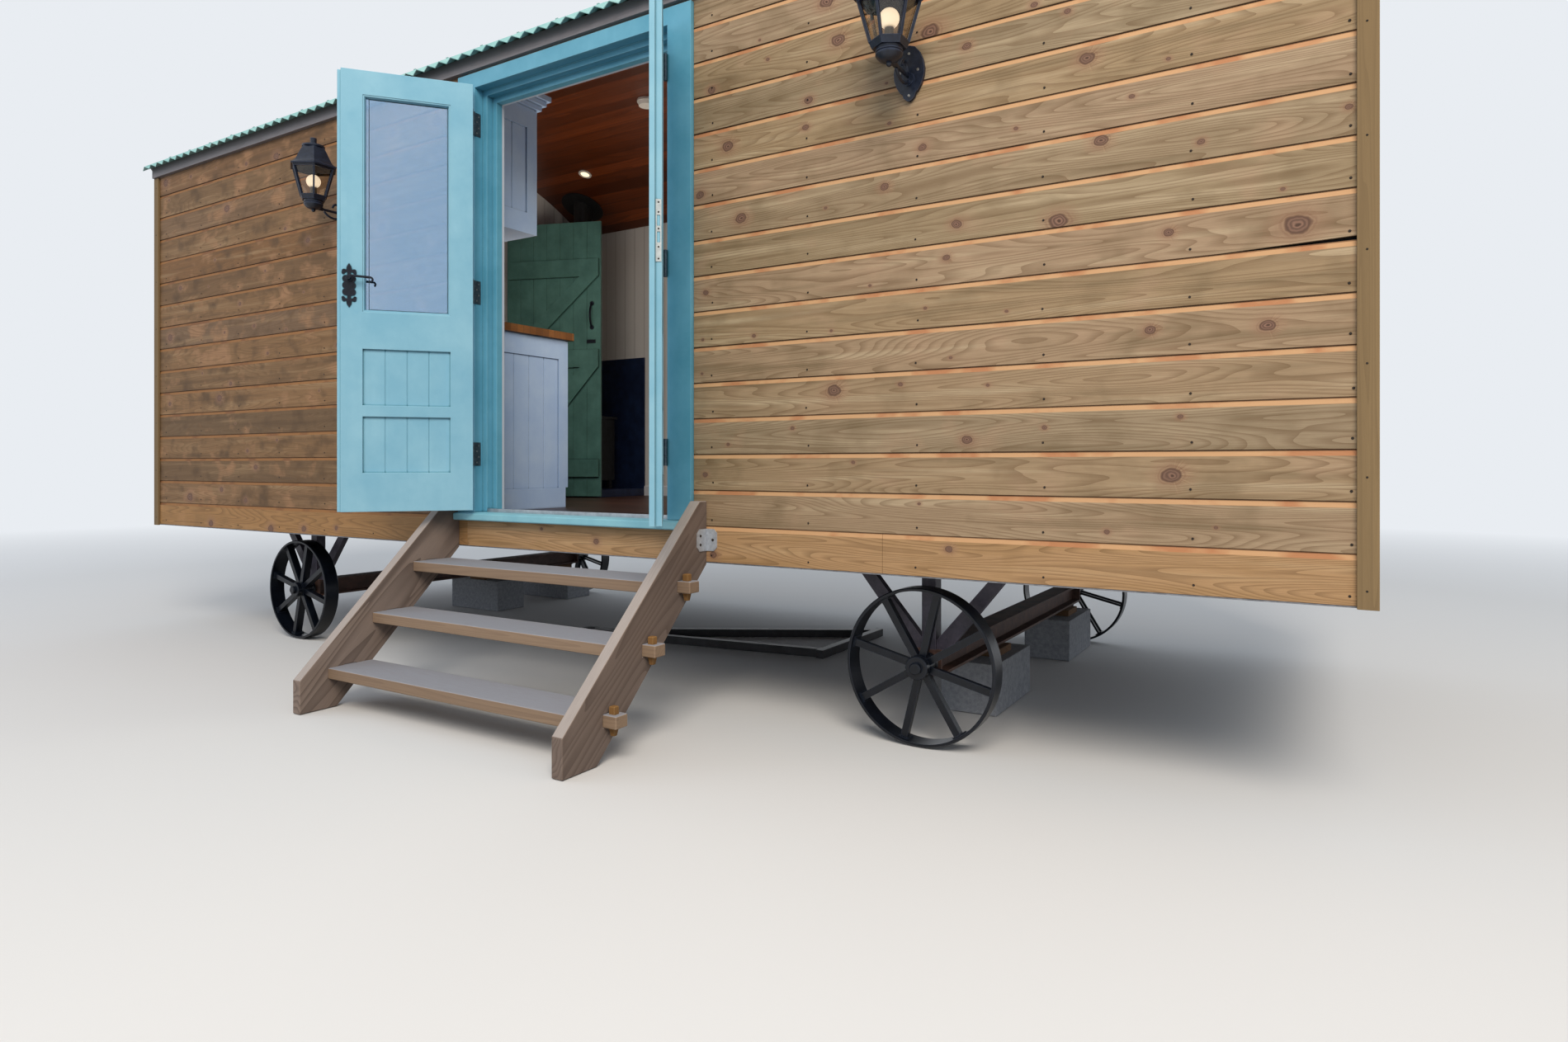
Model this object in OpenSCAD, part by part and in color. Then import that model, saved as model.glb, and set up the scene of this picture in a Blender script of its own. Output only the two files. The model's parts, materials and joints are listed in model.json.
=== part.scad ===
// Shepherds hut: a timber body on a four-wheeled chassis, with a pair of glazed doors,
// plank steps, two wall lanterns, a crosswise partition with its own door, and a small
// fitted kitchen and stove. Millimetres, +Z up, +Y away from the door side, the ground at
// Z = 0 and the origin under the middle of the whole footprint.

/* [Body] */
// Length over the corner boards
body_l = 6100; // [5000:10:7400]
// Width over the cladding
body_w = 2400; // [2000:10:2900]
// Height of the lowest board's bottom edge
body_bottom = 580; // [540:5:700]
// Height of one cladding board that shows
board_cover = 130; // [125:1:156]
// Number of cladding boards in a wall
board_rows = 16; // [16:1:18]
// Thickness of a wall
wall_t = 100; // [80:1:125]
// Face width of a corner board
corner_w = 47; // [35:1:80]
// Thickness of a corner board
corner_t = 12; // [8:1:22]
// Thickness of the floor boards
floor_t = 25; // [18:1:40]
// Thickness of the drip strip under the cladding
drip_t = 4; // [2:0.5:8]

/* [Roof] */
// Rise of the sheet from the wall face to the crown
roof_rise = 364; // [290:1:520]
// Depth of the roof from the sheet down to the ceiling's face
roof_t = 136; // [110:1:180]
// Overhang of the sheet at the eaves
eave_out = 62; // [50:1:100]
// Overhang of the sheet at the ends
verge_out = 60; // [40:1:150]
// Pitch of the corrugations
wave_pitch = 76; // [60:1:100]
// Depth of the corrugations
wave_depth = 18; // [12:1:24]
// Thickness of the sheet
sheet_t = 3; // [2:0.5:5]
// Height of the eaves board
fascia_h = 62; // [50:1:100]
// Thickness of the eaves board
fascia_t = 22; // [15:1:30]
// Height of the curved barge board
barge_h = 66; // [50:1:90]
// Thickness of the ceiling boards
ceiling_t = 12; // [9:1:20]

/* [Doors] */
// Distance of the doorway's centre from the middle of the hut
door_x = 322; // [250:1:420]
// Width of one door leaf
leaf_w = 518; // [430:1:625]
// Height of a door leaf
leaf_h = 1814; // [1500:1:1840]
// Thickness of a door leaf
leaf_t = 40; // [33:1:50]
// Width of a stile
stile_w = 90; // [75:1:108]
// Height of the top rail
top_rail_h = 100; // [80:1:120]
// Height of the lock rail
lock_rail_h = 152; // [110:1:183]
// Height of the rail between the two lower panels
mid_rail_h = 46; // [35:1:70]
// Height of the bottom rail
bottom_rail_h = 160; // [120:1:192]
// Height of one lower panel
panel_h = 232; // [190:1:280]
// Thickness of a lower panel
panel_t = 16; // [10:1:20]
// Thickness of the glass in a leaf
glass_t = 6; // [4:1:12]
// Width of a glazing bead
bead_w = 11; // [8:1:16]
// Gap round a closed leaf
door_gap = 5; // [5:0.5:6]
// Face width of the door frame
frame_face = 110; // [90:1:132]
// How far the door frame stands out of the wall
frame_out = 20; // [15:1:25]
// Angle at which the left leaf stands open
left_open = 130; // [95:1:132]
// Angle at which the right leaf stands open
right_open = 128.5; // [95:0.5:132]
// Thickness of the sill
sill_h = 35; // [28:1:42]
// How far the sill stands out of the wall
sill_out = 45; // [35:1:55]
// Height of a hinge
hinge_h = 100; // [75:1:120]
// Radius of a hinge knuckle
knuckle_r = 7; // [6:0.5:8.5]
// Radius of a hinge pin
pin_r = 3; // [2.5:0.5:4]

/* [Running gear] */
// Radius of a wheel
wheel_r = 262; // [218:1:315]
// Width of a wheel's rim
rim_w = 75; // [55:1:90]
// Thickness of the rim
rim_t = 11; // [8:1:20]
// Number of spokes
spoke_count = 8; // [6:1:12]
// Width of a spoke's face
spoke_w = 24; // [18:1:30]
// Distance of each axle from the middle of the hut
axle_x = 1787; // [1500:1:2150]
// Height and width of an axle beam, a rolled joist
axle_beam = 90; // [75:1:95]
// Thickness of the joist's flanges
axle_flange = 10; // [7:0.5:14]
// Thickness of the joist's web
axle_web = 8; // [5:0.5:12]
// Radius of the stub axle
stub_r = 20; // [16:1:24]
// Side of an axle post
post_w = 50; // [40:1:60]
// Height of a chassis beam
beam_h = 90; // [70:1:108]
// Width of a chassis beam
beam_w = 70; // [50:1:90]
// Length of a concrete block
block_l = 440; // [360:5:530]
// Width of a concrete block
block_w = 215; // [175:5:260]
// Height of a concrete block
block_h = 95; // [78:1:97]
// Side of the tow frame's bars
tow_bar = 40; // [30:1:50]

/* [Steps] */
// Gap between the door frame and a stringer
stringer_gap = 12.5; // [8:0.5:30]
// Thickness of a stringer
stringer_t = 45; // [35:1:55]
// Height of the stringers above the floor
stringer_over = 85; // [60:1:110]
// Distance from the wall to the foot
step_reach = 718; // [590:1:870]
// Height of one rise
step_rise = 187; // [155:1:200]
// Thickness of a tread
tread_t = 41; // [32:1:50]
// Depth of a tread
tread_d = 185; // [150:1:200]
// Side of a square peg
peg_w = 22; // [16:1:28]

/* [Lanterns] */
// Distance of each lantern from the doorway's centre
lamp_x = 1490; // [1300:1:1560]
// Height of a lantern's wall plate
lamp_z = 2166; // [2050:1:2200]
// Distance of a lantern's axis from the wall
lamp_out = 160; // [135:1:195]
// Radius of a lantern's roof over its corners
lamp_r = 110; // [92:1:130]
// Thickness of a lantern's glass
pane_t = 3; // [2:0.5:5]

/* [Inside] */
// Distance of the partition from the middle of the hut
partition_x = 1800; // [1600:1:2000]
// Thickness of the partition
partition_t = 70; // [55:1:100]
// Width of the inner door
inner_door_w = 670; // [560:1:800]
// Height of the inner door
inner_door_h = 1811; // [1500:1:1830]
// Thickness of the inner door with its ledges
inner_door_t = 38; // [32:1:45]
// Angle at which the inner door stands open
inner_open = 109; // [90:1:110]
// Distance of the cupboards' end from the doorway's centre
cupboard_x = 700; // [690:1:900]
// Length of the cupboards
cupboard_l = 1000; // [800:10:1200]
// Depth of the base cupboard
base_d = 610; // [500:1:650]
// Height of the base cupboard without its worktop
base_h = 850; // [700:1:950]
// Thickness of the worktop
worktop_t = 38; // [25:1:45]
// Depth of the wall cupboard
wall_unit_d = 400; // [300:1:480]
// Height of the skirting board
skirt_h = 70; // [50:1:100]
// Thickness of the skirting board
skirt_t = 12; // [8:1:16]
// Height of the hearth slab
hearth_t = 50; // [30:1:70]
// Depth of the hearth slab
hearth_d = 485; // [400:1:520]
// Width of the hearth slab
hearth_w = 580; // [500:1:640]
// Width of the stove
stove_w = 340; // [280:1:410]
// Radius of the flue pipe
flue_r = 62; // [50:1:75]

/* [Hidden] */

// Clearance of pieces that seat on or in each other
seat_gap = 0.3;
// Radial clearance of a pin or shaft that turns
run_gap = 0.05;
round_fn = 48;
small_fn = 32;
arc_fn = 256;

// How far a cut runs past a face
past = 1;

floor_z = body_bottom + 135;
half_l = body_l / 2;
wall_x = half_l - corner_t;
inner_x = wall_x - wall_t;
inner_w = body_w - 2 * wall_t;

// Heights of the doorway
sill_top = floor_z + 12;
leaf_z = sill_top + 11;
head_z = leaf_z + leaf_h + 8;
frame_top = head_z + 65;
rough_top = frame_top - 35;

// The roof's arcs share an axis along the hut. The eaves board stays clear of the doorway's
// head: a taller door takes another row of boards.
roof_r = (pow(body_w / 2, 2) + pow(roof_rise, 2)) / (2 * roof_rise);
eave_rise = 57;
fascia_fall = sqrt(pow(roof_r, 2) - pow(body_w / 2, 2))
    - sqrt(pow(roof_r, 2) - pow(body_w / 2 + fascia_t, 2)) + past;
head_need = frame_top + seat_gap + fascia_h + fascia_fall - eave_rise - body_bottom;
rows = max(board_rows, ceil(head_need / board_cover));
wall_h = board_cover * rows;
wall_top = body_bottom + wall_h;
eave_z = wall_top + eave_rise;
crown_z = eave_z + roof_rise;
arc_z = crown_z - roof_r;
ceiling_r = roof_r - roof_t;
sheet_angle = asin((body_w / 2 + eave_out) / (roof_r + wave_depth / 2));
sheet_back = (roof_r + wave_depth + sheet_t) * sin(sheet_angle);
wave_count = floor((body_l + 2 * verge_out) / wave_pitch);
fascia_top = eave_z - fascia_fall;

// The front face of the wall, placed so that the footprint's middle is at Y = 0
wall_y = (step_reach - body_w / 2 - sheet_back) / 2;

// The doorway
lap = 40;
meet_gap = 9;
meet_lap = 8;
rebate_w = 2 * leaf_w + 2 * door_gap + meet_gap;
surround_w = rebate_w + 2 * frame_face;
rough_w = surround_w - 2 * lap;
stop_w = 25;
stop_d = 32;
stop_y = leaf_t - frame_out + door_gap;

// A leaf in its own place: hinge pin at the origin, leaf running to +x, outer face to -y
leaf_x0 = door_gap / 2;
leaf_y0 = knuckle_r;
pin_y = -frame_out - knuckle_r;
left_pin_x = door_x - rebate_w / 2 + leaf_x0;
right_pin_x = door_x + rebate_w / 2 - leaf_x0;
hinge_z = [leaf_z + 190, leaf_z + 0.49 * leaf_h, leaf_z + leaf_h - 200];
flap_t = 1.8;
flap_w = leaf_t - 10;
glass_z = leaf_z + bottom_rail_h + 2 * panel_h + mid_rail_h + lock_rail_h;
glass_top = leaf_z + leaf_h - top_rail_h;
light_w = leaf_w - 2 * stile_w;
handle_x = leaf_x0 + leaf_w - 40;
handle_z = glass_z + 132;
plate_t = 4;
plate_h = 181;
plate_z = handle_z - 27;

// Running gear
hub_z = wheel_r + 1;
wheel_y = 120;
beam_y = wheel_y + rim_w + 20 + beam_w / 2;
axle_y = wheel_y + rim_w + 20;
chassis_z = floor_z - floor_t - beam_h;
axle_bottom = hub_z - axle_beam / 2;

// Steps
step_w = surround_w + 2 * stringer_gap;
stringer_top = floor_z + stringer_over;
stringer_head = 43;
foot_nose = 124;
foot_l = 147;
string_slope = (stringer_top - foot_nose) / (step_reach - stringer_head);
tread_set = 80;
tread_count = 3;
tenon_w = 55;
tenon_out = 52;
function tread_z(i) = floor_z - (tread_count - i) * step_rise;
function tread_y(i) = -stringer_head - (stringer_top - tread_z(i)) / string_slope + tread_set;

// Inside: the inner door opens up to the hearth, which lies against the back wall
hearth_clear = 16;
inner_hinge_y = body_w - wall_t - hearth_d - hearth_clear - sin(inner_open - 90) * inner_door_w;
hinge_out = 8;
partition_gap = 5;
free_gap = 9;
cupboard_r = door_x - cupboard_x;
stove_x = partition_x - 239;
stove_y = body_w - wall_t - hearth_d / 2 - 14.5;
flue_foot = floor_z + hearth_t + 506;
flue_top = crown_z + 339;

function ceiling_at(y) = arc_z + sqrt(pow(ceiling_r, 2) - pow(y - body_w / 2, 2));

module hut() { translate([0, wall_y, 0]) children(); }

// A shell of the roof's arc: radii r0 to r1, from x0 to x1, out to half the angle each way
module arc_shell(r0, r1, x0, x1, half) {
    translate([0, body_w / 2, arc_z]) rotate([0, -90, 0]) rotate([0, 0, -half])
        rotate_extrude(angle = 2 * half, $fn = arc_fn)
            translate([r0, -x1]) square([r1 - r0, x1 - x0]);
}

module arc_solid(r, x0, x1) {
    translate([x0, body_w / 2, arc_z]) rotate([0, 90, 0]) cylinder(r = r, h = x1 - x0, $fn = arc_fn);
}

module flue_hole() {
    translate([-stove_x, stove_y, floor_z + 1000])
        cylinder(r = flue_r + seat_gap, h = 3000, $fn = round_fn);
}

// Longitudinal beams with cross members let in between them
module chassis() {
    end_x = inner_x - 40;
    color("#4a4038") hut() {
        for (y = [beam_y, body_w - beam_y]) translate([-end_x, y - beam_w / 2, chassis_z])
            cube([2 * end_x, beam_w, beam_h]);
        for (x = [-end_x, -axle_x - 25, -axle_x / 2 - 25, -25, axle_x / 2 - 25, axle_x - 25, end_x - 50])
            translate([x, beam_y + beam_w / 2, chassis_z + 15])
                cube([50, body_w - 2 * beam_y - beam_w, beam_h - 15]);
    }
}

// Section of a rolled joist, standing on the origin
module joist() {
    difference() {
        translate([-axle_beam / 2, 0]) square(axle_beam);
        for (s = [0, 1]) mirror([s, 0]) translate([axle_web / 2, axle_flange])
            square([axle_beam, axle_beam - 2 * axle_flange]);
    }
}

// A joist on each axle, with a stub axle welded to the plate at each of its ends
module axle_beams() {
    plate = 10;
    color("#3d2a20") hut() for (sx = [-1, 1]) translate([sx * axle_x, 0, 0]) {
        translate([0, body_w - axle_y, axle_bottom]) rotate([90, 0, 0])
            linear_extrude(body_w - 2 * axle_y) joist();
        for (back = [0, 1]) translate([0, back * body_w, 0]) mirror([0, back, 0]) {
            translate([-axle_beam / 2, axle_y, axle_bottom]) cube([axle_beam, plate, axle_beam]);
            translate([0, wheel_y - 12, hub_z]) rotate([-90, 0, 0])
                cylinder(r = stub_r, h = axle_y - wheel_y + 12 + past, $fn = round_fn);
        }
    }
}

// A post and two raking struts carry the chassis on the end of an axle beam
module axle_stand() {
    foot = hub_z + axle_beam / 2;
    spread = 300;
    translate([-post_w / 2, -post_w / 2, foot]) cube([post_w, post_w, chassis_z - foot]);
    for (s = [-1, 1]) rotate([90, 0, 0]) translate([0, 0, -15]) linear_extrude(30)
        polygon([[s * (post_w / 2 - past), foot], [s * (post_w / 2 + 42), foot],
                 [s * spread, chassis_z], [s * (spread - 52), chassis_z],
                 [s * (post_w / 2 - past), foot + 30]]);
}

module axle_stands() {
    color("#332f2c") hut() for (sx = [-1, 1], y = [axle_y + post_w / 2, body_w - axle_y - post_w / 2])
        translate([sx * axle_x, y, 0]) axle_stand();
}

// A cast wheel about its own axis, its front face at z = 0 and the hut behind it
module wheel_form() {
    inner_r = wheel_r - rim_t;
    mid = rim_w / 2;
    back = rim_w + 9;
    bore = stub_r + run_gap;
    foot_t = 5;
    rotate_extrude($fn = 96) polygon([
        [wheel_r - 3, 0], [wheel_r, 3], [wheel_r, rim_w - 3], [wheel_r - 3, rim_w],
        [inner_r, rim_w], [inner_r, 0]]);
    rotate_extrude($fn = round_fn) polygon([
        [0, -30], [16, -30], [20, -26], [20, -16], [36, -16], [39, -13], [39, 8], [35, 12],
        [35, back - 18], [39, back - 14], [39, back - 3], [36, back], [bore, back], [bore, -14],
        [0, -14]]);
    for (i = [0 : spoke_count - 1]) rotate([0, 0, (i + 0.3) * 360 / spoke_count]) {
        translate([30, -spoke_w / 2, mid - 20]) cube([inner_r - 29, spoke_w, 9]);
        translate([30, -5, mid - 12]) cube([inner_r - 29, 10, 34]);
        translate([inner_r - foot_t, -spoke_w / 2 - foot_t, mid - 24])
            cube([foot_t + past, spoke_w + 2 * foot_t, 48]);
    }
}

module wheel(sx, back) {
    color("#17181a") hut() translate([sx * axle_x, back * body_w, hub_z]) mirror([0, back, 0])
        translate([0, wheel_y, 0]) rotate([-90, 0, 0]) wheel_form();
}

module wheel_front_left() wheel(-1, 0);
module wheel_front_right() wheel(1, 0);
module wheel_back_left() wheel(-1, 1);
module wheel_back_right() wheel(1, 1);

// The tow frame: two bars that meet in an eye and a cross bar, laid on the ground
module drawbar() {
    eye = [-500, body_w / 2 - 200];
    ends = [[850, body_w / 2 - 20], [850, body_w / 2 + 580]];
    color("#1b1b1d") hut() linear_extrude(tow_bar) difference() {
        union() {
            for (e = ends) let (d = e - eye)
                translate(eye) rotate(atan2(d[1], d[0])) translate([35, -tow_bar / 2])
                    square([norm(d) - 35, tow_bar]);
            translate([ends[0][0] - tow_bar / 2, ends[0][1] - tow_bar])
                square([tow_bar, ends[1][1] - ends[0][1] + 2 * tow_bar]);
            translate(eye) circle(r = 55, $fn = round_fn);
        }
        translate(eye) circle(r = 26, $fn = round_fn);
    }
}

// Courses of blocks that fit under an axle beam with room for a packer
courses = floor((axle_bottom - 10) / block_h);
// Stacks under the axle beams, as [x, y, along y]
piers = [[axle_x, 824, true], [axle_x, body_w - 480, true], [-axle_x, body_w - 1002, false],
         [-axle_x, body_w - 392, false]];

module block_piers() {
    color("#8b8a86") hut() for (p = piers, k = [0 : courses - 1])
        let (l = p[2] ? [block_w, block_l] : [block_l, block_w])
            translate([p[0] - l[0] / 2, p[1] - l[1] / 2, k * block_h]) cube([l[0], l[1], block_h]);
}

module timber_packers() {
    color("#a5773f") hut() for (p = piers) translate([p[0] - 70, p[1] - 85, courses * block_h])
        cube([140, 170, axle_bottom - courses * block_h]);
}

module floor_deck() {
    color("#7a3f26") hut() translate([-inner_x, wall_t, floor_z - floor_t])
        cube([2 * inner_x, inner_w, floor_t]);
}

module front_wall_left() {
    color("#b98a4b") hut() translate([-wall_x, 0, body_bottom])
        cube([wall_x + door_x - rough_w / 2, wall_t, wall_h]);
}

module front_wall_right() {
    color("#b98a4b") hut() translate([door_x + rough_w / 2, 0, body_bottom])
        cube([wall_x - door_x - rough_w / 2, wall_t, wall_h]);
}

module front_wall_over_door() {
    color("#b98a4b") hut() translate([door_x - rough_w / 2, 0, rough_top])
        cube([rough_w, wall_t, wall_top - rough_top]);
}

module front_wall_under_door() {
    color("#b98a4b") hut() translate([door_x - rough_w / 2, 0, body_bottom])
        cube([rough_w, wall_t, sill_top - sill_h - body_bottom]);
}

module back_wall() {
    color("#b98a4b") hut() translate([-wall_x, body_w - wall_t, body_bottom])
        cube([2 * wall_x, wall_t, wall_h]);
}

// Between the long walls, with a curved head that runs out over their ends
module end_wall(sx) {
    x0 = sx < 0 ? -wall_x : inner_x;
    color("#b98a4b") hut() intersection() {
        union() {
            translate([x0, wall_t, body_bottom]) cube([wall_t, inner_w, crown_z - body_bottom]);
            translate([x0, 0, wall_top]) cube([wall_t, body_w, crown_z - wall_top]);
        }
        arc_solid(roof_r - seat_gap, x0 - past, x0 + wall_t + past);
    }
}

module left_end_wall() end_wall(-1);
module right_end_wall() end_wall(1);

module corner_boards() {
    color("#a98a55") hut() for (sx = [0, 1], back = [0, 1])
        translate([0, back * body_w, body_bottom - 6]) mirror([sx, 0, 0]) mirror([0, back, 0])
            linear_extrude(fascia_top - fascia_h - body_bottom + 6 - seat_gap)
                polygon([[half_l - corner_w, -corner_t], [half_l, -corner_t],
                         [half_l, corner_w - corner_t], [wall_x, corner_w - corner_t],
                         [wall_x, 0], [half_l - corner_w, 0]]);
}

module drip_strips() {
    color("#8f8d88") hut() {
        for (y = [0, body_w - 16]) translate([corner_w - half_l, y, body_bottom - drip_t])
            cube([body_l - 2 * corner_w, 16, drip_t]);
        for (x = [-wall_x, wall_x - 16]) translate([x, corner_w, body_bottom - drip_t])
            cube([16, body_w - 2 * corner_w, drip_t]);
    }
}

// Straight boards under the eaves and curved ones under the ends of the sheet
module fascias() {
    barge_angle = asin((body_w / 2 + fascia_t) / roof_r);
    color("#85796c") hut() {
        for (y = [-fascia_t, body_w]) translate([-half_l, y, fascia_top - fascia_h])
            cube([body_l, fascia_t, fascia_h]);
        for (sx = [-1, 1]) difference() {
            arc_shell(roof_r - barge_h, roof_r - seat_gap,
                      sx < 0 ? -half_l - fascia_t + past : wall_x + seat_gap,
                      sx < 0 ? -wall_x - seat_gap : half_l + fascia_t - past, barge_angle);
            for (y = [-fascia_t - 50, body_w]) translate([-half_l - past, y, fascia_top - fascia_h - 50])
                cube([body_l + 2 * past, fascia_t + 50, fascia_h + 50]);
        }
    }
}

// From the ceiling boards up to the sheet, let down between the long walls
module roof_deck() {
    color("#c9a36b") hut() difference() {
        arc_shell(ceiling_r + ceiling_t, roof_r - seat_gap, -inner_x + seat_gap, inner_x - seat_gap,
                  asin((body_w / 2 - 1) / roof_r));
        for (y = [-500, body_w - wall_t - seat_gap]) translate([-half_l, y, wall_top - 600])
            cube([body_l, wall_t + 500 + seat_gap, 600 + seat_gap]);
        flue_hole();
    }
}

// Corrugated sheet bent over the deck: a wavy strip turned about the roof's axis
module roof_sheet() {
    steps = 4;
    x0 = -wave_count * wave_pitch / 2;
    pts = [for (i = [0 : wave_count * steps])
        [roof_r + wave_depth / 2 * (1 - cos(360 * i / steps)), x0 + i * wave_pitch / steps]];
    color("#9fc4bd") hut() difference() {
        translate([0, body_w / 2, arc_z]) rotate([0, -90, 0]) rotate([0, 0, -sheet_angle])
            rotate_extrude(angle = 2 * sheet_angle, $fn = arc_fn)
                polygon(concat(pts, [for (i = [len(pts) - 1 : -1 : 0]) pts[i] + [sheet_t, 0]]));
        flue_hole();
    }
}

module ceiling() {
    color("#5f2f16") hut() difference() {
        arc_shell(ceiling_r, ceiling_r + ceiling_t - seat_gap, -inner_x + seat_gap,
                  inner_x - seat_gap, asin((inner_w / 2 - past) / (ceiling_r + ceiling_t)));
        flue_hole();
    }
}

// Plan of a jamb, with its flange, rebate, two stops and lining
function jamb(s) = let (o = surround_w / 2, r = rough_w / 2, b = rebate_w / 2, d = stop_y + stop_d) [
    [s * o, -frame_out], [s * b, -frame_out], [s * b, stop_y], [s * (b - stop_w), stop_y],
    [s * (b - stop_w), d], [s * (b - 2 * stop_w), d], [s * (b - 2 * stop_w), wall_t],
    [s * r, wall_t], [s * r, 0], [s * o, 0]];

// Section of the head, with the same steps, as [y, z]
function head_section() = let (d = stop_y + stop_d) [
    [-frame_out, head_z], [stop_y, head_z], [stop_y, head_z - stop_w], [d, head_z - stop_w],
    [d, head_z - 2 * stop_w], [wall_t, head_z - 2 * stop_w], [wall_t, rough_top], [0, rough_top],
    [0, frame_top], [-frame_out, frame_top]];

module door_frame() {
    color("#86b8b5") hut() translate([door_x, 0, 0]) {
        for (s = [-1, 1]) {
            translate([0, 0, sill_top]) linear_extrude(rough_top - sill_top) polygon(jamb(s));
            translate([s > 0 ? rebate_w / 2 : -surround_w / 2, -frame_out, rough_top - past])
                cube([frame_face, frame_out, frame_top - rough_top + past]);
        }
        translate([-rebate_w / 2 - past, 0, 0]) rotate([90, 0, 90])
            linear_extrude(rebate_w + 2 * past) polygon(head_section());
    }
}

module door_sill() {
    base = sill_top - sill_h;
    color("#86b8b5") hut() translate([door_x, 0, 0]) {
        translate([-surround_w / 2, 0, 0]) rotate([90, 0, 90]) linear_extrude(surround_w)
            polygon([[0, base], [0, sill_top], [-frame_out, sill_top], [-sill_out, sill_top - 6],
                     [-sill_out, base + 4], [-sill_out + 4, base]]);
        translate([-rough_w / 2, 0, base]) cube([rough_w, wall_t, sill_h]);
    }
}

module threshold() {
    w = rebate_w - 2 * stop_w - 2;
    color("#c4c8ca") hut() translate([door_x - w / 2, 0, sill_top]) rotate([90, 0, 90])
        linear_extrude(w) polygon([[stop_y, 0], [stop_y + stop_d, 0], [stop_y + stop_d, 6],
            [stop_y + 12, 15], [stop_y, 15]]);
}

// Moves a leaf, or what it carries, from its own place to its open position
module at_left_hinge() {
    translate([left_pin_x, pin_y, 0]) rotate([0, 0, -left_open]) children();
}

module at_right_hinge() {
    translate([right_pin_x, pin_y, 0]) rotate([0, 0, right_open]) mirror([1, 0, 0]) children();
}

// Half of each butt hinge: the frame's flap and outer knuckles with the pin, or the leaf's
// flap and middle knuckle with its bore
module frame_half() {
    third = hinge_h / 3;
    cylinder(r = pin_r, h = hinge_h, $fn = small_fn);
    for (z = [0, 2 * third]) translate([0, 0, z]) {
        cylinder(r = knuckle_r, h = third - seat_gap, $fn = small_fn);
        translate([-leaf_x0, 0, 0]) cube([flap_t, knuckle_r + 2, third - seat_gap]);
    }
    translate([-leaf_x0, knuckle_r + 1, 0]) cube([flap_t, flap_w, hinge_h]);
}

module leaf_half() {
    third = hinge_h / 3;
    difference() {
        union() {
            translate([0, 0, third + seat_gap]) {
                cylinder(r = knuckle_r, h = third - 3 * seat_gap, $fn = small_fn);
                translate([leaf_x0 - flap_t, 0, 0]) cube([flap_t, knuckle_r + 2, third - 3 * seat_gap]);
            }
            translate([leaf_x0 - flap_t, knuckle_r + 1, 0]) cube([flap_t, flap_w, hinge_h]);
        }
        translate([0, 0, -past]) cylinder(r = pin_r + run_gap, h = hinge_h + 2 * past, $fn = small_fn);
    }
}

module door_hinges() {
    color("#2c2a28") hut() for (z = hinge_z) {
        translate([left_pin_x, pin_y, z]) frame_half();
        translate([right_pin_x, pin_y, z]) mirror([1, 0, 0]) frame_half();
    }
}

// Stiles and rails, with the lip that laps the other leaf and the boarded lower panels
module leaf_form(outer) {
    panel_z = [leaf_z + bottom_rail_h, leaf_z + bottom_rail_h + panel_h + mid_rail_h];
    groove = light_w / 4;
    difference() {
        translate([leaf_x0, leaf_y0, leaf_z]) cube([leaf_w - meet_lap, leaf_t, leaf_h]);
        for (z = panel_z) translate([leaf_x0 + stile_w, leaf_y0 - past, z])
            cube([light_w, leaf_t + 2 * past, panel_h]);
        translate([leaf_x0 + stile_w, leaf_y0 - past, glass_z])
            cube([light_w, leaf_t + 2 * past, glass_top - glass_z]);
    }
    translate([leaf_x0 + leaf_w - meet_lap - past, leaf_y0 + (outer ? 0 : leaf_t / 2 + 2.5), leaf_z])
        cube([2 * meet_lap + past, leaf_t / 2 - 2.5, leaf_h]);
    for (z = panel_z) difference() {
        translate([leaf_x0 + stile_w - past, leaf_y0 + (leaf_t - panel_t) / 2, z - past])
            cube([light_w + 2 * past, panel_t, panel_h + 2 * past]);
        for (i = [1 : 3], y = [leaf_y0 + (leaf_t - panel_t) / 2, leaf_y0 + (leaf_t + panel_t) / 2])
            translate([leaf_x0 + stile_w + i * groove, y, z]) rotate([0, 0, 45])
                translate([-2, -2, 0]) cube([4, 4, panel_h]);
    }
    glazing_beads();
}

// A chamfered bead, from the glass outwards
module bead(l) {
    depth = (leaf_t - glass_t) / 2 - seat_gap - 3;
    translate([0, 0, -past]) linear_extrude(l + 2 * past)
        polygon([[-past, 0], [bead_w, 0], [bead_w, 3], [bead_w - 6, depth], [-past, depth]]);
}

// Four beads on each face of a leaf hold its glass
module glazing_beads() {
    light_h = glass_top - glass_z;
    translate([leaf_x0 + stile_w, leaf_y0 + leaf_t / 2, glass_z]) for (face = [0, 1], s = [0, 1])
        mirror([0, face, 0]) translate([0, glass_t / 2 + seat_gap, 0]) {
            translate([s * light_w, 0, 0]) mirror([s, 0, 0]) bead(light_h);
            translate([light_w, 0, s * light_h]) mirror([0, 0, s]) rotate([0, -90, 0]) bead(light_w);
        }
}

module leaf_glass() {
    translate([leaf_x0 + stile_w + seat_gap, leaf_y0 + (leaf_t - glass_t) / 2, glass_z + seat_gap])
        cube([light_w - 2 * seat_gap, glass_t, glass_top - glass_z - 2 * seat_gap]);
}

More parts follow.
